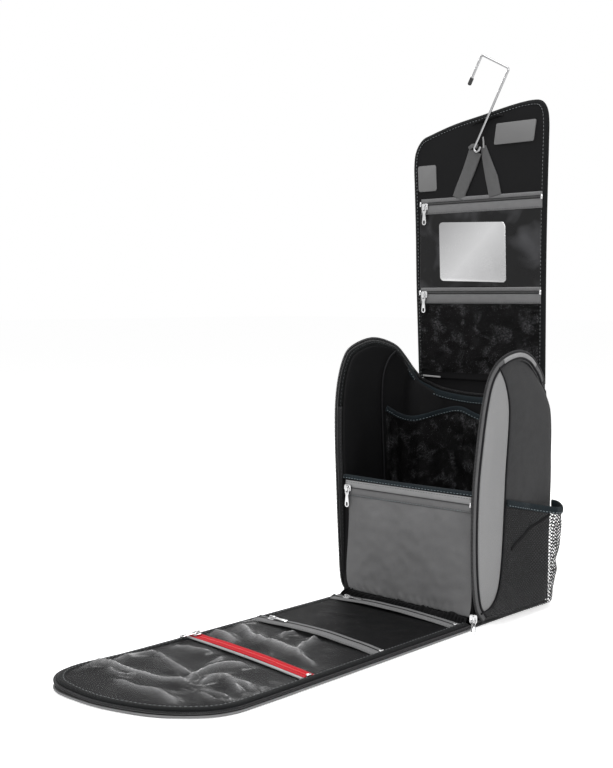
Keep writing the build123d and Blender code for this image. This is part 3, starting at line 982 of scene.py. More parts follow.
def makeBackLining():
    # one cloth from the seam of the left wall round the back to the seam of the right wall
    x = body["liningX"]
    z = back["floorZ"]
    seams = [onWall(side, body["innerSeam"], x, 60) for side in ("left", "right")]
    inner = [rimInset(side, body["liningInset"], x) for side in ("left", "right")]
    starts = [nearestIndex(line, seam[-1]) for line, seam in zip(inner, seams)]
    swoop = smoothLine([(px, body["swoopY"] - 0.001, pz - 0.0095) for px, pz in body["swoop"][1:-1]], 50)
    top = inner[0][starts[0]:-2] + swoop + inner[1][starts[1]:-2][::-1]
    top = evenLine(smoothLine(top[::6] + [top[-1]], 300), 120)
    half = [(x, 0.004, z), (x, 0.030, z), (x - 0.003, 0.052, z), (x - 0.014, 0.066, z), (0.050, 0.068, z)]
    bottom = smoothLine([(-px, y, z) for px, y, z in half] + half[::-1], 120)

    def settle(u, v, spot):
        return towardMiddle(spot) * (0.001 + ripple(spot, 0.045, 0.0016, 4)) * rimCap(u, v)
    lining = makeFourSided("backLiningCloth", bottom, top, *seams, 120, 70, settle, reach=0.2)
    finishSheet(lining, back["liningThickness"], towardMiddle, liningCloth, "black_lining",
                "back_lining")


def makeBase():
    half = body["outerX"] - 0.0022

    def outside(u, v):
        z = back["baseZ"] - 0.0004 * rimCap(u, v)
        return Vector((mixed((-half, half), u), mixed(back["baseY"], v), z))
    base = makeSheet("baseCloth", 40, 40, outside, (2 * half, 0.1562))
    finishSheet(base, back["baseThickness"], upward, rearCloth, "dark_cloth", "base_panel")

    def inside(u, v):
        spot = Vector((mixed(back["floorX"], u), mixed(back["floorY"], v), 0))
        return spot + upward * (back["floorTop"] + 0.0012 * rimCap(u, v) + ripple(spot, 0.04, 0.0005, 1))
    floor = makeSheet("floorLining", 40, 30, inside, (0.179, 0.134))
    finishSheet(floor, back["floorThickness"], upward, liningCloth, "black_lining")


makeBodyEdge()
for side in ("left", "right"):
    makeSideWall(side)
makeBack()
makeBase()
print("stage: walls, back and base")


# Front wall, its zipped pocket, and the net pockets

front = {
    "half": 0.0905, "wallY": -0.0725, "wallThickness": 0.0052, "low": 0.003, "top": 0.1405,
    "pocketLeft": [(-0.0775, 0.0135), (-0.0830, 0.0250), (-0.0848, 0.0440), (-0.0830, 0.0670),
                   (-0.0815, 0.0950), (-0.0820, 0.1225)],
    "pocketRight": [(0.0895, 0.0120), (0.0910, 0.0300), (0.0912, 0.0730), (0.0912, 0.1235)],
    "pocketY": -0.0745, "pocketThickness": 0.0011, "bulge": 0.0042, "topBinding": (0.0056, 0.0086),
    "topEdge": [(-0.0905, -0.0735, 0.1425), (-0.04, -0.0745, 0.1420), (0.02, -0.0745, 0.1418),
                (0.0910, -0.0735, 0.1420)],
    "foot": {"x": (-0.0885, 0.0900), "y": -0.0850, "z": 0.0050, "cut": (0.1785, 0.0125)},
    "zip": {"x": (-0.0850, 0.0900), "y": -0.0752, "z": 0.1312, "low": 0.1225, "high": 0.1395},
}


def makeFrontWall():
    half, y = front["half"], front["pocketY"]

    def place(u, v):
        spot = Vector((mixed((-half, half), u), 0, mixed((front["low"], front["top"]), v)))
        return spot + backward * (front["wallY"] + ripple(spot, 0.06, 0.0006, 6))
    wall = makeSheet("frontWallPad", 50, 40, place, (2 * half, front["top"] - front["low"]))
    giveThickness(wall, front["wallThickness"], towardFront)
    carry(wall, liningCloth, "black_lining")
    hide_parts("front_wall")
    near, far = [smoothLine([(x, y - 0.0045 * max(0, 1 - z / 0.04), z) for x, z in front[edge]], 60)
                 for edge in ("pocketLeft", "pocketRight")]
    top = straightLine(near[-1], far[-1], 60)

    def swell(u, v, spot):
        # puckered along its foot and gathered under its zip
        pucker = 0.0018 * math.sin(u * 90 + 3 * math.sin(u * 9)) * max(0, 1 - v / 0.12) ** 2
        gather = 0.0009 * math.sin(u * 48 + 3 * math.sin(u * 7)) * max(0, (v - 0.86) / 0.14) ** 2
        crease = ripple(Vector((spot.x, 0, spot.z * 0.6)), 0.03, 0.0020, 9) + ripple(spot, 0.011, 0.0007, 2)
        rim = rimCap(u, v)
        return towardFront * (front["bulge"] * rim + (crease + pucker + gather) * min(1, rim * 2))
    bottom = straightLine(near[0], far[0], 60)
    pocket = makeFourSided("frontPocketCloth", bottom, top, near, far, 150, 90, swell)
    finishSheet(pocket, front["pocketThickness"], towardFront, frontCloth, "grey_cloth",
                "front_pocket")
    makeFrontFoot(near[0], far[0])
    line = shifted(top, [towardFront] * 61, 0.0012)
    carry(makeStitches("frontPocketStitches", line, [towardFront] * 61), threadSlate, "grey_cloth")
    edge = smoothLine(front["topEdge"], 80)
    line = shifted(edge, [backward] * 81, 0.0026)
    roll = makeRoll("frontTopBinding", line, [towardFront] * 81, *front["topBinding"])
    carry(roll, bindingCloth, "black_lining")
    line = [place + Vector((0, -0.0020, -0.0004)) for place in edge]
    carry(makeStitches("frontTopStitches", line, [towardFront] * 81), threadSlate, "black_lining")


def makeFrontFoot(left, right):
    # the gathered black strip between the pocket and the flap's hem
    data = front["foot"]

    def place(u, v):
        low = Vector((mixed(data["x"], u), data["y"], data["z"]))
        teeth = abs(math.sin(u * 52 + 4 * math.sin(u * 17))) ** 3 * (0.5 + 0.5 * math.sin(u * 29 + 1))
        high = left.lerp(right, u) + Vector((0, -0.0026, 0.0002 + 0.0030 * teeth))
        puff = math.sin(math.pi * v)
        ruffle = math.sin(u * 190 + 5 * math.sin(u * 13)) * puff
        return high.lerp(low, v) + Vector((0, -0.0010 * ruffle, 0.0016 * ruffle + 0.0012 * puff))
    strip = makeSheet("frontFootGather", 420, 12, place, data["cut"])
    finishSheet(strip, 0.0007, Vector((0, -0.7, 0.7)), liningCloth, "black_lining")


zipParts = {
    "places": 110, "tapeThickness": 0.0008, "crown": 0.0005, "stitchInset": 0.0018, "stitchPitch": 0.0036,
    "stop": (0.0022, 0.0058, 0.0022), "stopLift": 0.0012, "stopBevel": 0.0006,
}


def makeZip(name, a, b, normal, below, above, cloths, coilMaterial, slot, body, bow=0.0, rise=0.0,
            wave=0.0004, gap=0.0004, coil=(0.0014, 0.0008)):
    # two tape halves that meet over the coil; below and above are their widths, bow bends the line
    # across the cloth and rise lifts its middle
    data = zipParts
    count = data["places"]
    across = (Vector(b) - Vector(a)).normalized().cross(normal).normalized()
    line = []
    for i, spot in enumerate(straightLine(a, b, count)):
        share = 4 * (i / count) * (1 - i / count)
        height = rise * share + ripple(spot, 0.03, wave, 11) + wave
        line.append(spot - across * bow * share + normal * height)
    normals = [normal] * (count + 1)
    for label, inner, outer, cloth in (("Below", gap, below, cloths[0]), ("Above", -gap, -above, cloths[1])):
        tape = makeStrip(name + "Tape" + label, line, normals, inner, outer, data["tapeThickness"],
                         crown=data["crown"], across=8)
        carry(tape, cloth, slot, body)
        if label == "Below":
            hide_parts(name + "_chain")
        reach = outer - math.copysign(data["stitchInset"], outer)
        seam = shifted(shifted(line, beside(line, normals), reach), normals, 0.0003)
        stitches = makeStitches(name + "Stitches" + label, seam, normals, pitch=data["stitchPitch"])
        carry(stitches, threadDark, slot, body)
    teeth = makeCoil(name + "Coil", shifted(line, normals, 0.0003), normals, *coil)
    carry(teeth, coilMaterial, slot, body)
    for end, label in ((line[0], "Start"), (line[-1], "End")):
        seed = startFrom(bpy.ops.mesh.primitive_cube_add, size=1)
        seed.data.transform(Matrix.Diagonal((*data["stop"], 1)))
        applyModifier(seed, "BEVEL", width=data["stopBevel"], segments=2)
        turn = standing(end + normal * data["stopLift"], (line[-1] - line[0]).normalized(), normal)
        carry(repeatPiece(name + "Stop" + label, seed, [turn]), chrome, "bright_metal", body)


def makeFrontZip():
    data = front["zip"]
    a, b = [(x, data["y"], data["z"]) for x in data["x"]]
    makeZip("front_zip", a, b, towardFront, data["z"] - data["low"], data["high"] - data["z"],
            (tapeCloth, frontTapeCloth), coilGrey, "grey_zip", "bag_body", gap=0.0003, coil=(0.0010, 0.0007))


insidePocket = {
    "low": 0.030, "thickness": 0.0005, "binding": (0.0070, 0.0026), "bulge": 0.003, "fold": 0.00175,
    "path": [(-0.0895, 0.002), (-0.0885, 0.025), (-0.0850, 0.045), (-0.0740, 0.0575), (-0.050, 0.0610),
             (-0.025, 0.0612), (0.0, 0.0612), (0.025, 0.0612), (0.050, 0.0610), (0.0740, 0.0575),
             (0.0850, 0.045), (0.0885, 0.025), (0.0895, 0.002)],
    "heights": [0.2165, 0.2060, 0.2010, 0.2035, 0.2110, 0.2155, 0.2080, 0.2030, 0.2035, 0.2045, 0.205,
                0.2065, 0.210],
}


def intoBody(spot):
    return Vector((-spot.x * 0.4, -0.02, 0)).normalized()


def makeInsidePocket():
    data = insidePocket
    top = smoothLine([(x, y, z) for (x, y), z in zip(data["path"], data["heights"])], 130)
    bottom = smoothLine([(x * 1.003, y + 0.004, data["low"]) for x, y in data["path"]], 130)

    def settle(u, v, spot):
        folds = data["fold"] * math.sin(u * 70 + 4 * math.sin(u * 11)) * (0.3 + 0.7 * v) * (1 - v ** 8)
        return intoBody(spot) * (folds + (data["bulge"] + ripple(spot, 0.02, 0.004, 12)) * rimCap(u, v))
    net = makeFourSided("insideNetPocket", bottom, top, straightLine(bottom[0], top[0], 40),
                        straightLine(bottom[-1], top[-1], 40), 170, 70, settle)
    finishSheet(net, data["thickness"], towardMiddle, finePocketNet, "mesh_net",
                "inner_mesh_pocket")
    normals = [intoBody(spot) for spot in top]
    edge = [spot + normal * ripple(spot, 0.02, 0.0009, 12) for spot, normal in zip(top, normals)]
    carry(makeRoll("insideNetBinding", edge, normals, *data["binding"]), bindingCloth, "black_lining")
    line = shifted(shifted(edge, normals, 0.0014), [upward] * len(edge), -0.0018)
    carry(makeStitches("insideNetStitches", line, normals), threadSlate, "black_lining")


bottle = {
    "frontEdge": [(-0.058, 0.010), (-0.040, 0.026), (-0.0285, 0.056), (-0.0240, 0.095), (-0.0215, 0.1275)],
    "rearEdge": [(0.0705, 0.005), (0.0728, 0.040), (0.0730, 0.075), (0.0735, 0.1155)],
    "rim": [(-0.0215, 0.1275), (0.010, 0.1205), (0.040, 0.1140), (0.058, 0.1118), (0.0735, 0.1155)],
    "topBulge": 0.0215, "footBulge": 0.0112, "rimGap": 0.0022, "netGap": 0.0013, "thickness": 0.0005,
    "binding": (0.0080, 0.0017), "creaseSize": (0.0042, 0.0012),
    "crease": [(0.042, 0.1085), (0.0229, 0.0971), (0.0077, 0.0889), (-0.0049, 0.0821), (-0.0152, 0.0760)],
}


def makeBottlePocket(side):
    data = bottle
    outward = outwardOf(side)
    near = onWall(side, data["frontEdge"], body["outerX"] + 0.0035, 50)
    far = onWall(side, data["rearEdge"], body["outerX"] - 0.0005, 50)
    top = onWall(side, data["rim"], body["outerX"], 70)
    top[0], top[-1] = near[-1], far[-1]

    def swell(u, v, spot):
        # flat against the wall in front, and standing off it like a cup at its foot and towards the back
        cup = min(1, max(0, (u - 0.12) / 0.62)) ** 1.6
        cup += (min(1, u / 0.12) - cup) * max(0, 1 - v / 0.35)
        cup *= min(1, max(0, (1 - u) / 0.13)) ** 0.5
        bulge = mixed((data["footBulge"], data["topBulge"]), v ** 0.9)
        return outward * (bulge * cup + ripple(spot, 0.022, 0.0022, 13) * rimCap(u, v) + 0.001)
    bottom = straightLine(near[0], far[0], 70)
    net = makeFourSided(side + "BottlePocket", bottom, top, near, far, 80, 60, swell)
    rim = [clearOfWall(side, vertex.co, data["rimGap"]) for vertex in net.data.vertices[-81:]]
    simulateCloth(net, pressure=0.6, slack=0.03, cap=0.004)
    for vertex in net.data.vertices:
        vertex.co = clearOfWall(side, vertex.co, data["netGap"])
    # the net is pinched in a fold that runs down from its mouth
    spots = [vertex.co.copy() for vertex in net.data.vertices]
    crease = []
    for place in smoothLine([(0, y, z) for y, z in data["crease"]], 24):
        near = min(spots, key=lambda spot: (spot.y - place.y) ** 2 + (spot.z - place.z) ** 2)
        crease.append(Vector((near.x, place.y, place.z)) + outward * 0.0003)
    crease = smoothLine(crease[::4] + [crease[-1]], 40)
    finishSheet(net, data["thickness"], outward, sidePocketNet, "mesh_net",
                "mesh_pocket_" + side)
    rim = evenLine(rim, 90)
    normals = [way.cross(upward).normalized() for way in along(rim)]
    if normals[45].dot(outward) < 0:
        normals = [-normal for normal in normals]
    carry(makeRoll(side + "BottleBinding", rim, normals, *data["binding"]), bindingCloth, "black_lining")
    line = shifted(shifted(rim, normals, 0.0010), [upward] * 91, -0.0024)
    carry(makeStitches(side + "BottleStitches", line, normals), threadSlate, "black_lining")
    # a black roll along the fold: the net's doubled layers there, and painted shade in the fold
    roll = makeRoll(side + "BottleCrease", crease, [outward] * 41, *data["creaseSize"])
    carry(roll, liningCloth, "mesh_net")


makeFrontWall()
makeFrontZip()
makeInsidePocket()
for side in ("left", "right"):
    makeBottlePocket(side)
print("stage: front wall and body pockets")


# The flap on the floor: outer cloth, padding under a black lining, rolled binding, the other half of the
# main zip, three zips across it and its net and clear pockets

flapFolds = [
    {"part": "Near", "reach": (-0.215, 1), "bodies": ("bag_body", "flap_lower"),
     "start": (0, -0.076, 0), "end": (0, -0.098, 0)},
    {"part": "Middle", "reach": (-0.382, -0.215), "bodies": ("flap_lower", "flap_middle"),
     "start": (0, -0.335, 0), "end": (0, -0.349, 0)},
    {"part": "Tip", "reach": (-1, -0.382), "bodies": ("flap_middle", "flap_tip"),
     "start": (0, -0.415, 0), "end": (0, -0.429, 0)},
]
flap = {
    "left": [(-0.0885, -0.0845), (-0.0890, -0.180), (-0.0895, -0.300), (-0.0900, -0.400), (-0.0880, -0.445),
             (-0.0800, -0.474), (-0.0620, -0.4895), (-0.036, -0.4925)],
    "right": [(0.0945, -0.0845), (0.0950, -0.180), (0.0955, -0.300), (0.0955, -0.390), (0.0930, -0.424),
              (0.0800, -0.4480), (0.050, -0.4720), (0.004, -0.4885), (-0.036, -0.4925)],
    "shellTop": 0.0018, "shellOut": 0.0022, "shellThickness": 0.0015,
    "padTop": 0.0058, "padIn": 0.002, "padThickness": 0.0038,
    "tipLift": 0.0034, "tipMiddle": (-0.078, -0.468), "tipReach": 0.0022,
    # what runs round the edge: how far in from the outline and how high, then its size
    "bindingAt": (0.0042, 0.0046), "binding": (0.0085, 0.0066), "stitchAt": (0.0062, 0.0076),
    "pitch": 0.0046, "tapeAt": (-0.0022, 0.0042), "tapeWidth": 0.0055, "tapeThickness": 0.0008,
    "tapeCrown": 0.0004, "coilAt": (-0.0012, 0.0046), "coil": (0.0030, 0.0020),
    "pipingAt": (-0.0019, 0.0014), "piping": 0.0011,
}


def flapOutline(count):
    # from the right end of the hem round the tip to the left end
    points = flap["right"] + flap["left"][-2::-1]
    return smoothLine([(x, y, 0) for x, y in points], count)


def tipLift(spot):
    # the flap's upper layers stand off the lower one at the left of the tip
    x, y = flap["tipMiddle"]
    return flap["tipLift"] * math.exp(-((spot.x - x) ** 2 + (spot.y - y) ** 2) / flap["tipReach"])


def flapPatch(name, inset, across, rows, lift, start=(0, 0)):
    # a sheet inside the outline, ruled between its left and right halves, from start on each side
    lines = []
    for side in ("left", "right"):
        line = smoothLine([(x, y, 0) for x, y in flap[side]], 240)
        sign = 1 if side == "right" else -1
        line = shifted(line, beside(line, [upward] * len(line)), sign * inset)
        first = start[0] if side == "left" else start[1]
        lines.append(evenLine([spot for spot in line if spot.y <= first], rows))
    return makePatch(name, *lines, across, lift, (0.18, lengthOf(lines[0])))


def makeFlapBody():
    def under(u, v, spot):
        return upward * (flap["shellTop"] + ripple(spot, 0.05, 0.0004, 3))
    shell = flapPatch("flapShell", -flap["shellOut"], 60, 220, under)
    spreadOverFolds(shell, flapFolds, 1, shellCloth, "grey_cloth", flap["shellThickness"], upward,
                    replaced=("flap_lower_shell", "flap_middle_shell", "flap_tip_shell"))

    def over(u, v, spot):
        puff = 0.0004 + ripple(spot, 0.03, 0.0012, 6)
        return upward * (flap["padTop"] + puff * rimCap(u, v) + tipLift(spot))
    pad = flapPatch("flapPad", flap["padIn"], 90, 260, over)
    spreadOverFolds(pad, flapFolds, 1, liningPad, "black_lining", flap["padThickness"], upward,
                    replaced=("flap_lower_padding", "flap_middle_padding", "flap_tip_padding"))


def makeFlapEdge():
    line = flapOutline(420)
    normals = [upward] * len(line)
    inward = beside(line, normals)

    def seam(distance, height):
        lift = 1 if height > 0.002 else 0
        return [spot + upward * (height + lift * tipLift(spot)) for spot in shifted(line, inward, distance)]

    def spread(piece, material, slot):
        spreadOverFolds(piece, flapFolds, 1, material, slot)
    roll = makeRoll("flapBinding", seam(*flap["bindingAt"]), normals, *flap["binding"])
    spread(roll, blackBinding, "black_lining")
    stitches = makeStitches("flapStitches", seam(*flap["stitchAt"]), normals, pitch=flap["pitch"])
    spread(stitches, threadSoft, "black_lining")
    tape = makeStrip("flapZipTape", seam(*flap["tapeAt"]), normals, 0, flap["tapeWidth"],
                     flap["tapeThickness"], crown=flap["tapeCrown"])
    spread(tape, edgeTapeCloth, "grey_zip")
    coil = makeCoil("flapEdgeCoil", seam(*flap["coilAt"]), normals, *flap["coil"])
    spread(coil, coilBlack, "grey_zip")
    spread(makeTube("flapPiping", seam(*flap["pipingAt"]), flap["piping"]), pipingGrey, "grey_cloth")


flapZips = (
    {"name": "flap_zip_one", "a": (-0.0865, -0.0955, 0.0066), "b": (0.0875, -0.0985, 0.0066), "bow": 0.0025,
     "rise": 0.0030, "below": 0.0105, "above": 0.0075, "cloth": tapeCloth, "coil": coilBlack,
     "slot": "grey_zip"},
    {"name": "flap_zip_two", "a": (-0.0845, -0.2165, 0.0066), "b": (0.0890, -0.2215, 0.0066), "bow": 0.0025,
     "rise": 0.0030, "below": 0.0125, "above": 0.0060, "cloth": tapeCloth, "coil": coilBlack,
     "slot": "grey_zip"},
    {"name": "flap_zip_three", "a": (-0.0850, -0.3085, 0.0066), "b": (0.0885, -0.3235, 0.0066), "bow": 0.0010,
     "rise": 0.0015, "below": 0.0060, "above": 0.0075, "cloth": redTapeCloth, "coil": coilRed,
     "slot": "red_zip"},
)


def makeFlapZips():
    for data in flapZips:
        makeZip(data["name"], data["a"], data["b"], upward, data["below"], data["above"], [data["cloth"]] * 2,
                data["coil"], data["slot"], "flap_lower", bow=data["bow"], rise=data["rise"], wave=0.0006)


clearPockets = {
    "x": (-0.0835, 0.0890), "z": 0.0070, "height": 0.0026, "thickness": 0.0004, "netThickness": 0.0005,
    "netTop": (-0.1065, -0.1095), "netBottom": (-0.2070, -0.2120), "netHeight": 0.0012,
    "filmTop": (-0.2290, -0.2340), "filmBottom": (-0.3010, -0.3165), "wideTop": (-0.3180, -0.3335),
    "long": 0.085, "short": 0.026, "turn": 24, "warpSize": 0.07, "warp": 0.030, "tallest": 0.0062,
    "seed": 1795706489,
    "wideInset": 0.0060, "hemSize": (0.0050, 0.0014),
    "hem": [(-0.0850, -0.3165, 0.0072), (-0.030, -0.3215, 0.0082), (0.030, -0.3265, 0.0082),
            (0.0885, -0.3315, 0.0070)],
    # each fold of the film: half width, height, and the line of its crest
    "folds": (
        (0.0040, 0.0060, [(-0.0686, -0.4532), (-0.0690, -0.4341), (-0.0495, -0.4279), (-0.0188, -0.4224),
                          (0.0069, -0.4180), (0.0346, -0.4139)]),
        (0.0032, 0.0048, [(-0.0655, -0.3732), (-0.0411, -0.3821), (-0.0165, -0.3894), (0.0044, -0.3919)]),
        (0.0036, 0.0055, [(0.0266, -0.4133), (0.0172, -0.3942), (0.0152, -0.3745), (0.0204, -0.3562),
                          (0.0325, -0.3395)]),
        (0.0034, 0.0050, [(0.0382, -0.4105), (0.0345, -0.3920), (0.0392, -0.3806), (0.0600, -0.3832),
                          (0.0850, -0.3834)]),
        (0.0024, 0.0036, [(0.0440, -0.4136), (0.0636, -0.4119), (0.0820, -0.4144)]),
        (0.0022, 0.0036, [(0.0500, -0.4194), (0.0747, -0.4283)]),
        (0.0024, 0.0036, [(0.0551, -0.3864), (0.0787, -0.3976)]),
        (0.0026, 0.0036, [(-0.0538, -0.4393), (-0.0340, -0.4440), (-0.0294, -0.4309), (-0.0241, -0.4224)]),
        (0.0034, 0.0046, [(-0.0251, -0.4550), (0.0018, -0.4515), (0.0241, -0.4490), (0.0478, -0.4524),
                          (0.0600, -0.4512)]),
        (0.0036, 0.0045, [(-0.0730, -0.4214), (-0.0740, -0.3988), (-0.0710, -0.3813), (-0.0688, -0.3682)]),
        (0.0034, 0.0045, [(-0.0730, -0.3490), (-0.0624, -0.3456), (-0.0415, -0.3424), (-0.0253, -0.3354)]),
        (0.0026, 0.0030, [(-0.0019, -0.3682), (-0.0014, -0.3525), (-0.0064, -0.3400)]),
        (0.0040, 0.0050, [(-0.0731, -0.2946), (-0.0539, -0.2945), (-0.0300, -0.3020)]),
        (0.0040, 0.0062, [(-0.0671, -0.2615), (-0.0410, -0.2735), (-0.0133, -0.2824), (0.0129, -0.2830),
                          (0.0357, -0.2860), (0.0527, -0.2860)]),
        (0.0030, 0.0036, [(-0.0730, -0.2570), (-0.0691, -0.2464), (-0.0677, -0.2360)]),
        (0.0030, 0.0045, [(-0.0147, -0.2576), (-0.0133, -0.2403), (-0.0129, -0.2330)]),
        (0.0036, 0.0052, [(0.0357, -0.2860), (0.0284, -0.2601), (0.0208, -0.2400)]),
        (0.0030, 0.0045, [(0.0357, -0.2860), (0.0600, -0.2962), (0.0743, -0.2965)]),
    ),
}
foldLines = [(width, height, smoothLine([(x, y, 0) for x, y in points], 24))
             for width, height, points in clearPockets["folds"]]
# noise_vector takes the time as its seed unless it is given one
noise.seed_set(clearPockets["seed"])


def foldHeight(spot):
    # a sharp crest on a broad swelling, fading towards both ends of each fold
    tallest = 0
    flat = Vector((spot.x, spot.y, 0))
    for width, height, line in foldLines:
        index = nearestIndex(line, flat)
        away = (line[index] - flat).length / width
        if away > 6:
            continue
        share = index / (len(line) - 1)
        fade = min(1, 0.3 + 7 * share * (1 - share))
        crest = 0.65 * math.exp(-away * away) + 0.35 * math.exp(-(away / 3) ** 2)
        tallest = max(tallest, height * fade * crest)
    return tallest


def nearRim(u, v):
    return min(1, 12 * u * (1 - u)) * min(1, 12 * v * (1 - v))


def wrinkles(spot, height, seed):
    # long ridges with flat valleys between them, bent by a slower noise
    data = clearPockets
    turn = math.radians(data["turn"])
    warp = noise.noise_vector(Vector((spot.x, spot.y, seed * 0.01)) / data["warpSize"]) * data["warp"]
    x, y = spot.x + warp.x, spot.y + warp.y
    where = Vector(((x * math.cos(turn) + y * math.sin(turn)) / data["long"],
                    (y * math.cos(turn) - x * math.sin(turn)) / data["short"], seed))
    ridge = max(0, 1 - abs(noise.noise(where)) * 2.4)
    fine = max(0, 1 - abs(noise.noise(where * 2.1 + Vector((5, 5, 5)))) * 2.6)
    return height * (ridge ** 1.8 * 0.75 + fine ** 2 * 0.25)


def makeFilm(film):
    # the attribute is 1 on the crests of the folds and 0 on flat cloth; the film's material paints its
    # highlights by it
    crest = film.data.attributes.new("crest", "FLOAT", "POINT")
    tallest = clearPockets["tallest"]
    crest.data.foreach_set("value", [foldHeight(vertex.co) / tallest for vertex in film.data.vertices])
    simulateCloth(film, pressure=0.6, slack=0.03, cap=0.0025, bending=6.0, low=0.0068, smooth=22)


def makeFlapPockets():
    data = clearPockets

    def between(top, bottom, height, seed, folded=0):
        # cloth between two slightly slanted lines across the flap
        def place(u, v):
            spot = Vector((mixed(data["x"], u), mixed((mixed(top, u), mixed(bottom, u)), v), 0))
            fold = foldHeight(spot) * nearRim(u, v) if folded else 0
            return spot + upward * (data["z"] + wrinkles(spot, height, seed) * rimCap(u, v) + fold)
        return place
    width = data["x"][1] - data["x"][0]
    place = between(data["netTop"], data["netBottom"], data["netHeight"], 4)
    net = makeSheet("flapNetPocket", 90, 50, place, (width, 0.1015))
    finishSheet(net, data["netThickness"], upward, flapPocketNet, "mesh_net", "flap_mesh_pocket",
                "flap_lower")
    place = between(data["filmTop"], data["filmBottom"], data["height"], 7, folded=1)
    film = makeSheet("narrowClearPocket", 110, 48, place, (width, 0.0745))
    makeFilm(film)
    finishSheet(film, data["thickness"], upward, clearFilm, "clear_vinyl", "clear_pocket_upper",
                "flap_lower")

    def loose(u, v, spot):
        creases = wrinkles(spot, data["height"], 2) * rimCap(u, v) + foldHeight(spot) * nearRim(u, v)
        return upward * (data["z"] + tipLift(spot) + creases)
    film = flapPatch("wideClearPocket", data["wideInset"], 96, 90, loose, start=data["wideTop"])
    makeFilm(film)
    spreadOverFolds(film, flapFolds, 1, clearFilm, "clear_vinyl", data["thickness"], upward,
                    replaced=("", "clear_pocket_middle", "clear_pocket_tip"))
    # the film's pale hem below the red zip
    roll = makeRoll("clearPocketHem", smoothLine(data["hem"], 90), [upward] * 91, *data["hemSize"])
    carry(roll, hemFilm, "clear_vinyl", "flap_lower")


makeFlapBody()
makeFlapEdge()
makeFlapZips()
makeFlapPockets()
print("stage: flap")


# The standing panel: a padded board under a black lining in three lengths, with binding round it

panelFolds = [
    {"part": "Low", "reach": (-1, 0.310), "bodies": ("bag_body", "panel_lower"),
     "start": (0, 0, 0.2485), "end": (0, 0, 0.2565)},
    {"part": "Middle", "reach": (0.310, 0.418), "bodies": ("panel_lower", "panel_middle"),
     "start": (0, 0, 0.361), "end": (0, 0, 0.369)},
    {"part": "Top", "reach": (0.418, 1), "bodies": ("panel_middle", "panel_top"),
     "start": (0, 0, 0.467), "end": (0, 0, 0.475)},
]
panel = {
    "left": [(-0.0905, 0.2505), (-0.0930, 0.310), (-0.0955, 0.370), (-0.0970, 0.430), (-0.0990, 0.480),
             (-0.1000, 0.507), (-0.0975, 0.525), (-0.0880, 0.5385), (-0.0740, 0.5440), (-0.040, 0.5530),
             (0.0, 0.5600)],
    "right": [(0.0875, 0.2505), (0.0870, 0.310), (0.0865, 0.370), (0.0865, 0.430), (0.0870, 0.480),
              (0.0876, 0.520), (0.0876, 0.545), (0.0852, 0.5590), (0.0785, 0.5675), (0.0650, 0.5695),
              (0.040, 0.5670), (0.0, 0.5600)],
    "faceY": 0.0660, "boardInset": 0.0040, "boardThickness": 0.0048, "pocketLift": 0.0012,
    "bindingAt": (0.0032, -0.0020), "binding": (0.0076, 0.0060), "stitchAt": (0.0047, 0.0011),
    # the pale tape at the foot of the net, and how far it reaches to both sides of its line
    "footTape": [(-0.0825, 0.0640, 0.2532), (-0.0560, 0.0640, 0.2524)], "footReach": (-0.0010, 0.0012),
    "footThickness": 0.0005, "footCrown": 0.0003,
}


def panelPatch(name, inset, across, rows, lift):
    lines = []
    for side in ("left", "right"):
        line = smoothLine([(x, panel["faceY"], z) for x, z in panel[side]], 240)
        sign = 1 if side == "left" else -1
        line = shifted(line, beside(line, [towardFront] * len(line)), sign * inset)
        lines.append(evenLine(line, rows))
    return makePatch(name, *lines, across, lift, (0.18, lengthOf(lines[0])))


def makePanelBody():
    def swell(u, v, spot):
        return towardFront * (0.0006 + ripple(Vector((spot.x, 0, spot.z)), 0.05, 0.0012, 3)) * rimCap(u, v)
    board = panelPatch("panelBoard", panel["boardInset"], 80, 260, swell)
    spreadOverFolds(board, panelFolds, 2, panelLining, "black_lining", panel["boardThickness"], towardFront,
                    replaced=("panel_lower", "panel_middle", "panel_top"))


def makePanelEdge():
    points = panel["left"] + panel["right"][-2::-1]
    line = smoothLine([(x, panel["faceY"], z) for x, z in points], 420)
    normals = [towardFront] * len(line)

    def seam(distance, rise):
        return shifted(shifted(line, beside(line, normals), distance), normals, rise)
    roll = makeRoll("panelBinding", seam(*panel["bindingAt"]), normals, *panel["binding"])
    spreadOverFolds(roll, panelFolds, 2, blackBinding, "black_lining")
    stitches = makeStitches("panelStitches", seam(*panel["stitchAt"]), normals)
    spreadOverFolds(stitches, panelFolds, 2, threadSoft, "black_lining")


panelZipX = (-0.0870, 0.0830)
panelZips = (
    {"name": "upper_zip", "z": 0.4612, "low": 0.0125, "high": 0.0062, "body": "panel_middle"},
    {"name": "lower_zip", "z": 0.3543, "low": 0.0130, "high": 0.0062, "body": "panel_lower"},
)
panelPockets = {
    "netX": (-0.0880, 0.0815), "netZ": (0.2585, 0.3425), "netThickness": 0.0005,
    "glossX": (-0.0890, 0.0815), "glossZ": (0.3605, 0.4500), "glossThickness": 0.0006,
}


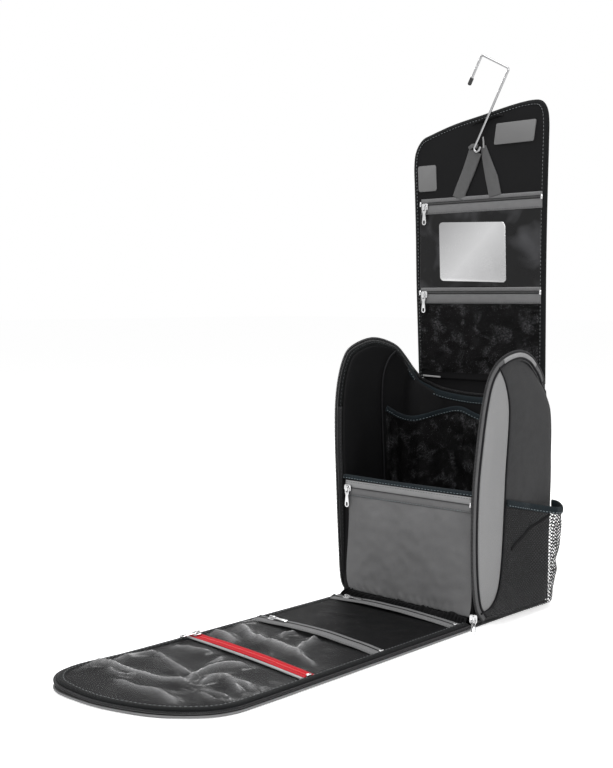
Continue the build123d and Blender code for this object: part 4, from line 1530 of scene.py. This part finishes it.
def makePanelPockets():
    face = panel["faceY"] - panel["pocketLift"]
    for data in panelZips:
        a, b = [(x, face, data["z"]) for x in panelZipX]
        makeZip(data["name"], a, b, towardFront, data["low"], data["high"], (tapeCloth, tapeCloth), coilGrey,
                "grey_zip", data["body"], gap=0.0016, coil=(0.0023, 0.0009))

    def sheet(name, xs, zs, across, rows, lift):
        def place(u, v):
            spot = Vector((mixed(xs, u), face, mixed(zs, v)))
            return spot + towardFront * lift(u, v, spot)
        return makeSheet(name, across, rows, place, (xs[1] - xs[0], zs[1] - zs[0]))

    def gathered(u, v, spot):
        # small gathers along the binding on both sides
        pleats = abs(math.sin(v * 27 + 2 * math.sin(v * 7))) * min(1, u * 60)
        nearSide = max(0, 1 - min(u, 1 - u) / 0.09)
        return rimCap(u, v) * (0.0008 + ripple(spot, 0.016, 0.0026, 5)) + 0.0022 * pleats * nearSide

    def tight(u, v, spot):
        return rimCap(u, v) * (0.0006 + ripple(spot, 0.035, 0.0010, 7))
    data = panelPockets
    net = sheet("panelNetPocket", data["netX"], data["netZ"], 160, 110, gathered)
    finishSheet(net, data["netThickness"], towardFront, finePocketNet, "mesh_net",
                "panel_mesh_pocket", "panel_lower")
    gloss = sheet("glossPocketCloth", data["glossX"], data["glossZ"], 90, 50, tight)
    finishSheet(gloss, data["glossThickness"], towardFront, glossCloth, "gloss_cloth",
                "gloss_pocket", "panel_middle")


webbing = {
    "width": 0.0168, "thickness": 0.0013,
    "left": [(-0.0325, 0.0642, 0.4655), (-0.0270, 0.0642, 0.4780), (-0.0165, 0.0640, 0.4990),
             (-0.0072, 0.0624, 0.5185)],
    "right": [(0.0200, 0.0640, 0.4655), (0.0158, 0.0640, 0.4830), (0.0085, 0.0641, 0.5050),
              (0.0026, 0.0644, 0.5235)],
    # the end folded over the wire, and the sliver of it that stands up behind
    "fold": [(-0.0155, 0.0622, 0.5222), (-0.0100, 0.0612, 0.5248), (-0.0030, 0.0616, 0.5238)],
    "end": [(0.0036, 0.0640, 0.5215), (0.0032, 0.0640, 0.5280), (0.0024, 0.0642, 0.5345)],
    "crown": 0.0004, "foldSize": (0.0052, 0.0024), "endSize": (0.0022, 0.0010),
}


def makeWebbing():
    data = webbing
    for name, topShare, node in (("left", 1.08, "hanging_strap"), ("right", 0.45, None)):
        line = smoothLine(data[name], 50)
        sides = beside(line, [towardFront] * 51)

        def place(u, v):
            index = round(v * 50)
            reach = data["width"] / 2 * (1 - (1 - topShare) * max(0, (v - 0.35) / 0.65))
            crown = towardFront * data["crown"] * math.sin(math.pi * u)
            return line[index] + sides[index] * reach * (2 * u - 1) + crown
        leg = makeSheet(name + "StrapLeg", 12, 50, place, (data["width"], lengthOf(line)))
        finishSheet(leg, data["thickness"], towardFront, webbingCloth, "webbing", node,
                    "panel_top")
    fold = makeRoll("strapFold", smoothLine(data["fold"], 24), [towardFront] * 25, *data["foldSize"])
    carry(fold, webbingCloth, "webbing", "panel_top")
    end = makeRoll("strapEnd", smoothLine(data["end"], 16), [towardFront] * 17, *data["endSize"])
    carry(end, capCloth, "webbing", "panel_top")


def makePanelFoot():
    line = straightLine(*panel["footTape"], 20)
    strip = makeStrip("panelFootTape", line, [towardFront] * 21, *panel["footReach"],
                      panel["footThickness"], crown=panel["footCrown"])
    carry(strip, capCloth, "grey_zip", "panel_lower")


makePanelBody()
makePanelEdge()
makePanelPockets()
makeWebbing()
makePanelFoot()
print("stage: panel")


# Grip pads, mirror, metal and boards: softened copies of their solids, or the solids themselves

def softCopy(node, name, material, slot, body, width, turn=0, lean=0, shift=0):
    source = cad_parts[node]
    piece = newObject(name, source.data.copy())
    if turn or lean:
        # sewn or stuck on a little crooked
        middle = sum((vertex.co for vertex in piece.data.vertices), Vector()) / len(piece.data.vertices)
        slant = Matrix(((1, 0, lean, shift), (0, 1, 0, 0), (0, 0, 1, 0), (0, 0, 0, 1)))
        piece.data.transform(Matrix.Translation(middle) @ slant @ Matrix.Rotation(math.radians(turn), 4, "Y")
                             @ Matrix.Translation(-middle))

    def mergeFlats(work):
        bmesh.ops.remove_doubles(work, verts=work.verts, dist=mergeDistance)
        bmesh.ops.dissolve_limit(work, angle_limit=math.radians(1), verts=work.verts, edges=work.edges)
    editMesh(piece, mergeFlats)
    applyModifier(piece, "BEVEL", width=width, segments=2, limit_method="ANGLE", angle_limit=math.radians(35))
    turnOutward(piece)
    pickOnly(piece)
    bpy.ops.object.shade_smooth_by_angle(angle=math.radians(40))
    carry(piece, material, slot, body)
    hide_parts(node)
    return piece


for zipName in ("front_zip", "upper_zip", "lower_zip", "flap_zip_one", "flap_zip_two", "flap_zip_three",
                "main_zip"):
    for part in ("slider", "puller"):
        node = f"{zipName}_{part}"
        softCopy(node, node + "Metal", chrome, "bright_metal", node, 0.00022)
softCopy("mirror_glass", "mirrorFilm", mirrorFilm, "mirror_face", "panel_middle", 0.0005, turn=2, lean=-0.07,
         shift=-0.0006)
softCopy("grip_pad_left", "leftGripPad", gripCloth, "grip_cloth", "panel_top", 0.0005, lean=-0.05,
         shift=-0.0015)
softCopy("grip_pad_right", "rightGripPad", gripCloth, "grip_cloth", "panel_top", 0.0005, turn=-3, lean=0.14)
board = softCopy("back_board", "backBoard", boardGrey, "board", "bag_body", 0.0004)
board.data.transform(Matrix.Diagonal((0.93, 1, 0.97, 1)))
for node, material in (("hook_wire", hookChrome), ("hook_tip", sleeveBlack), ("base_board", boardGrey)):
    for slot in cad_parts[node].material_slots:
        slot.material = material
print("stage: metal, mirror and pads")
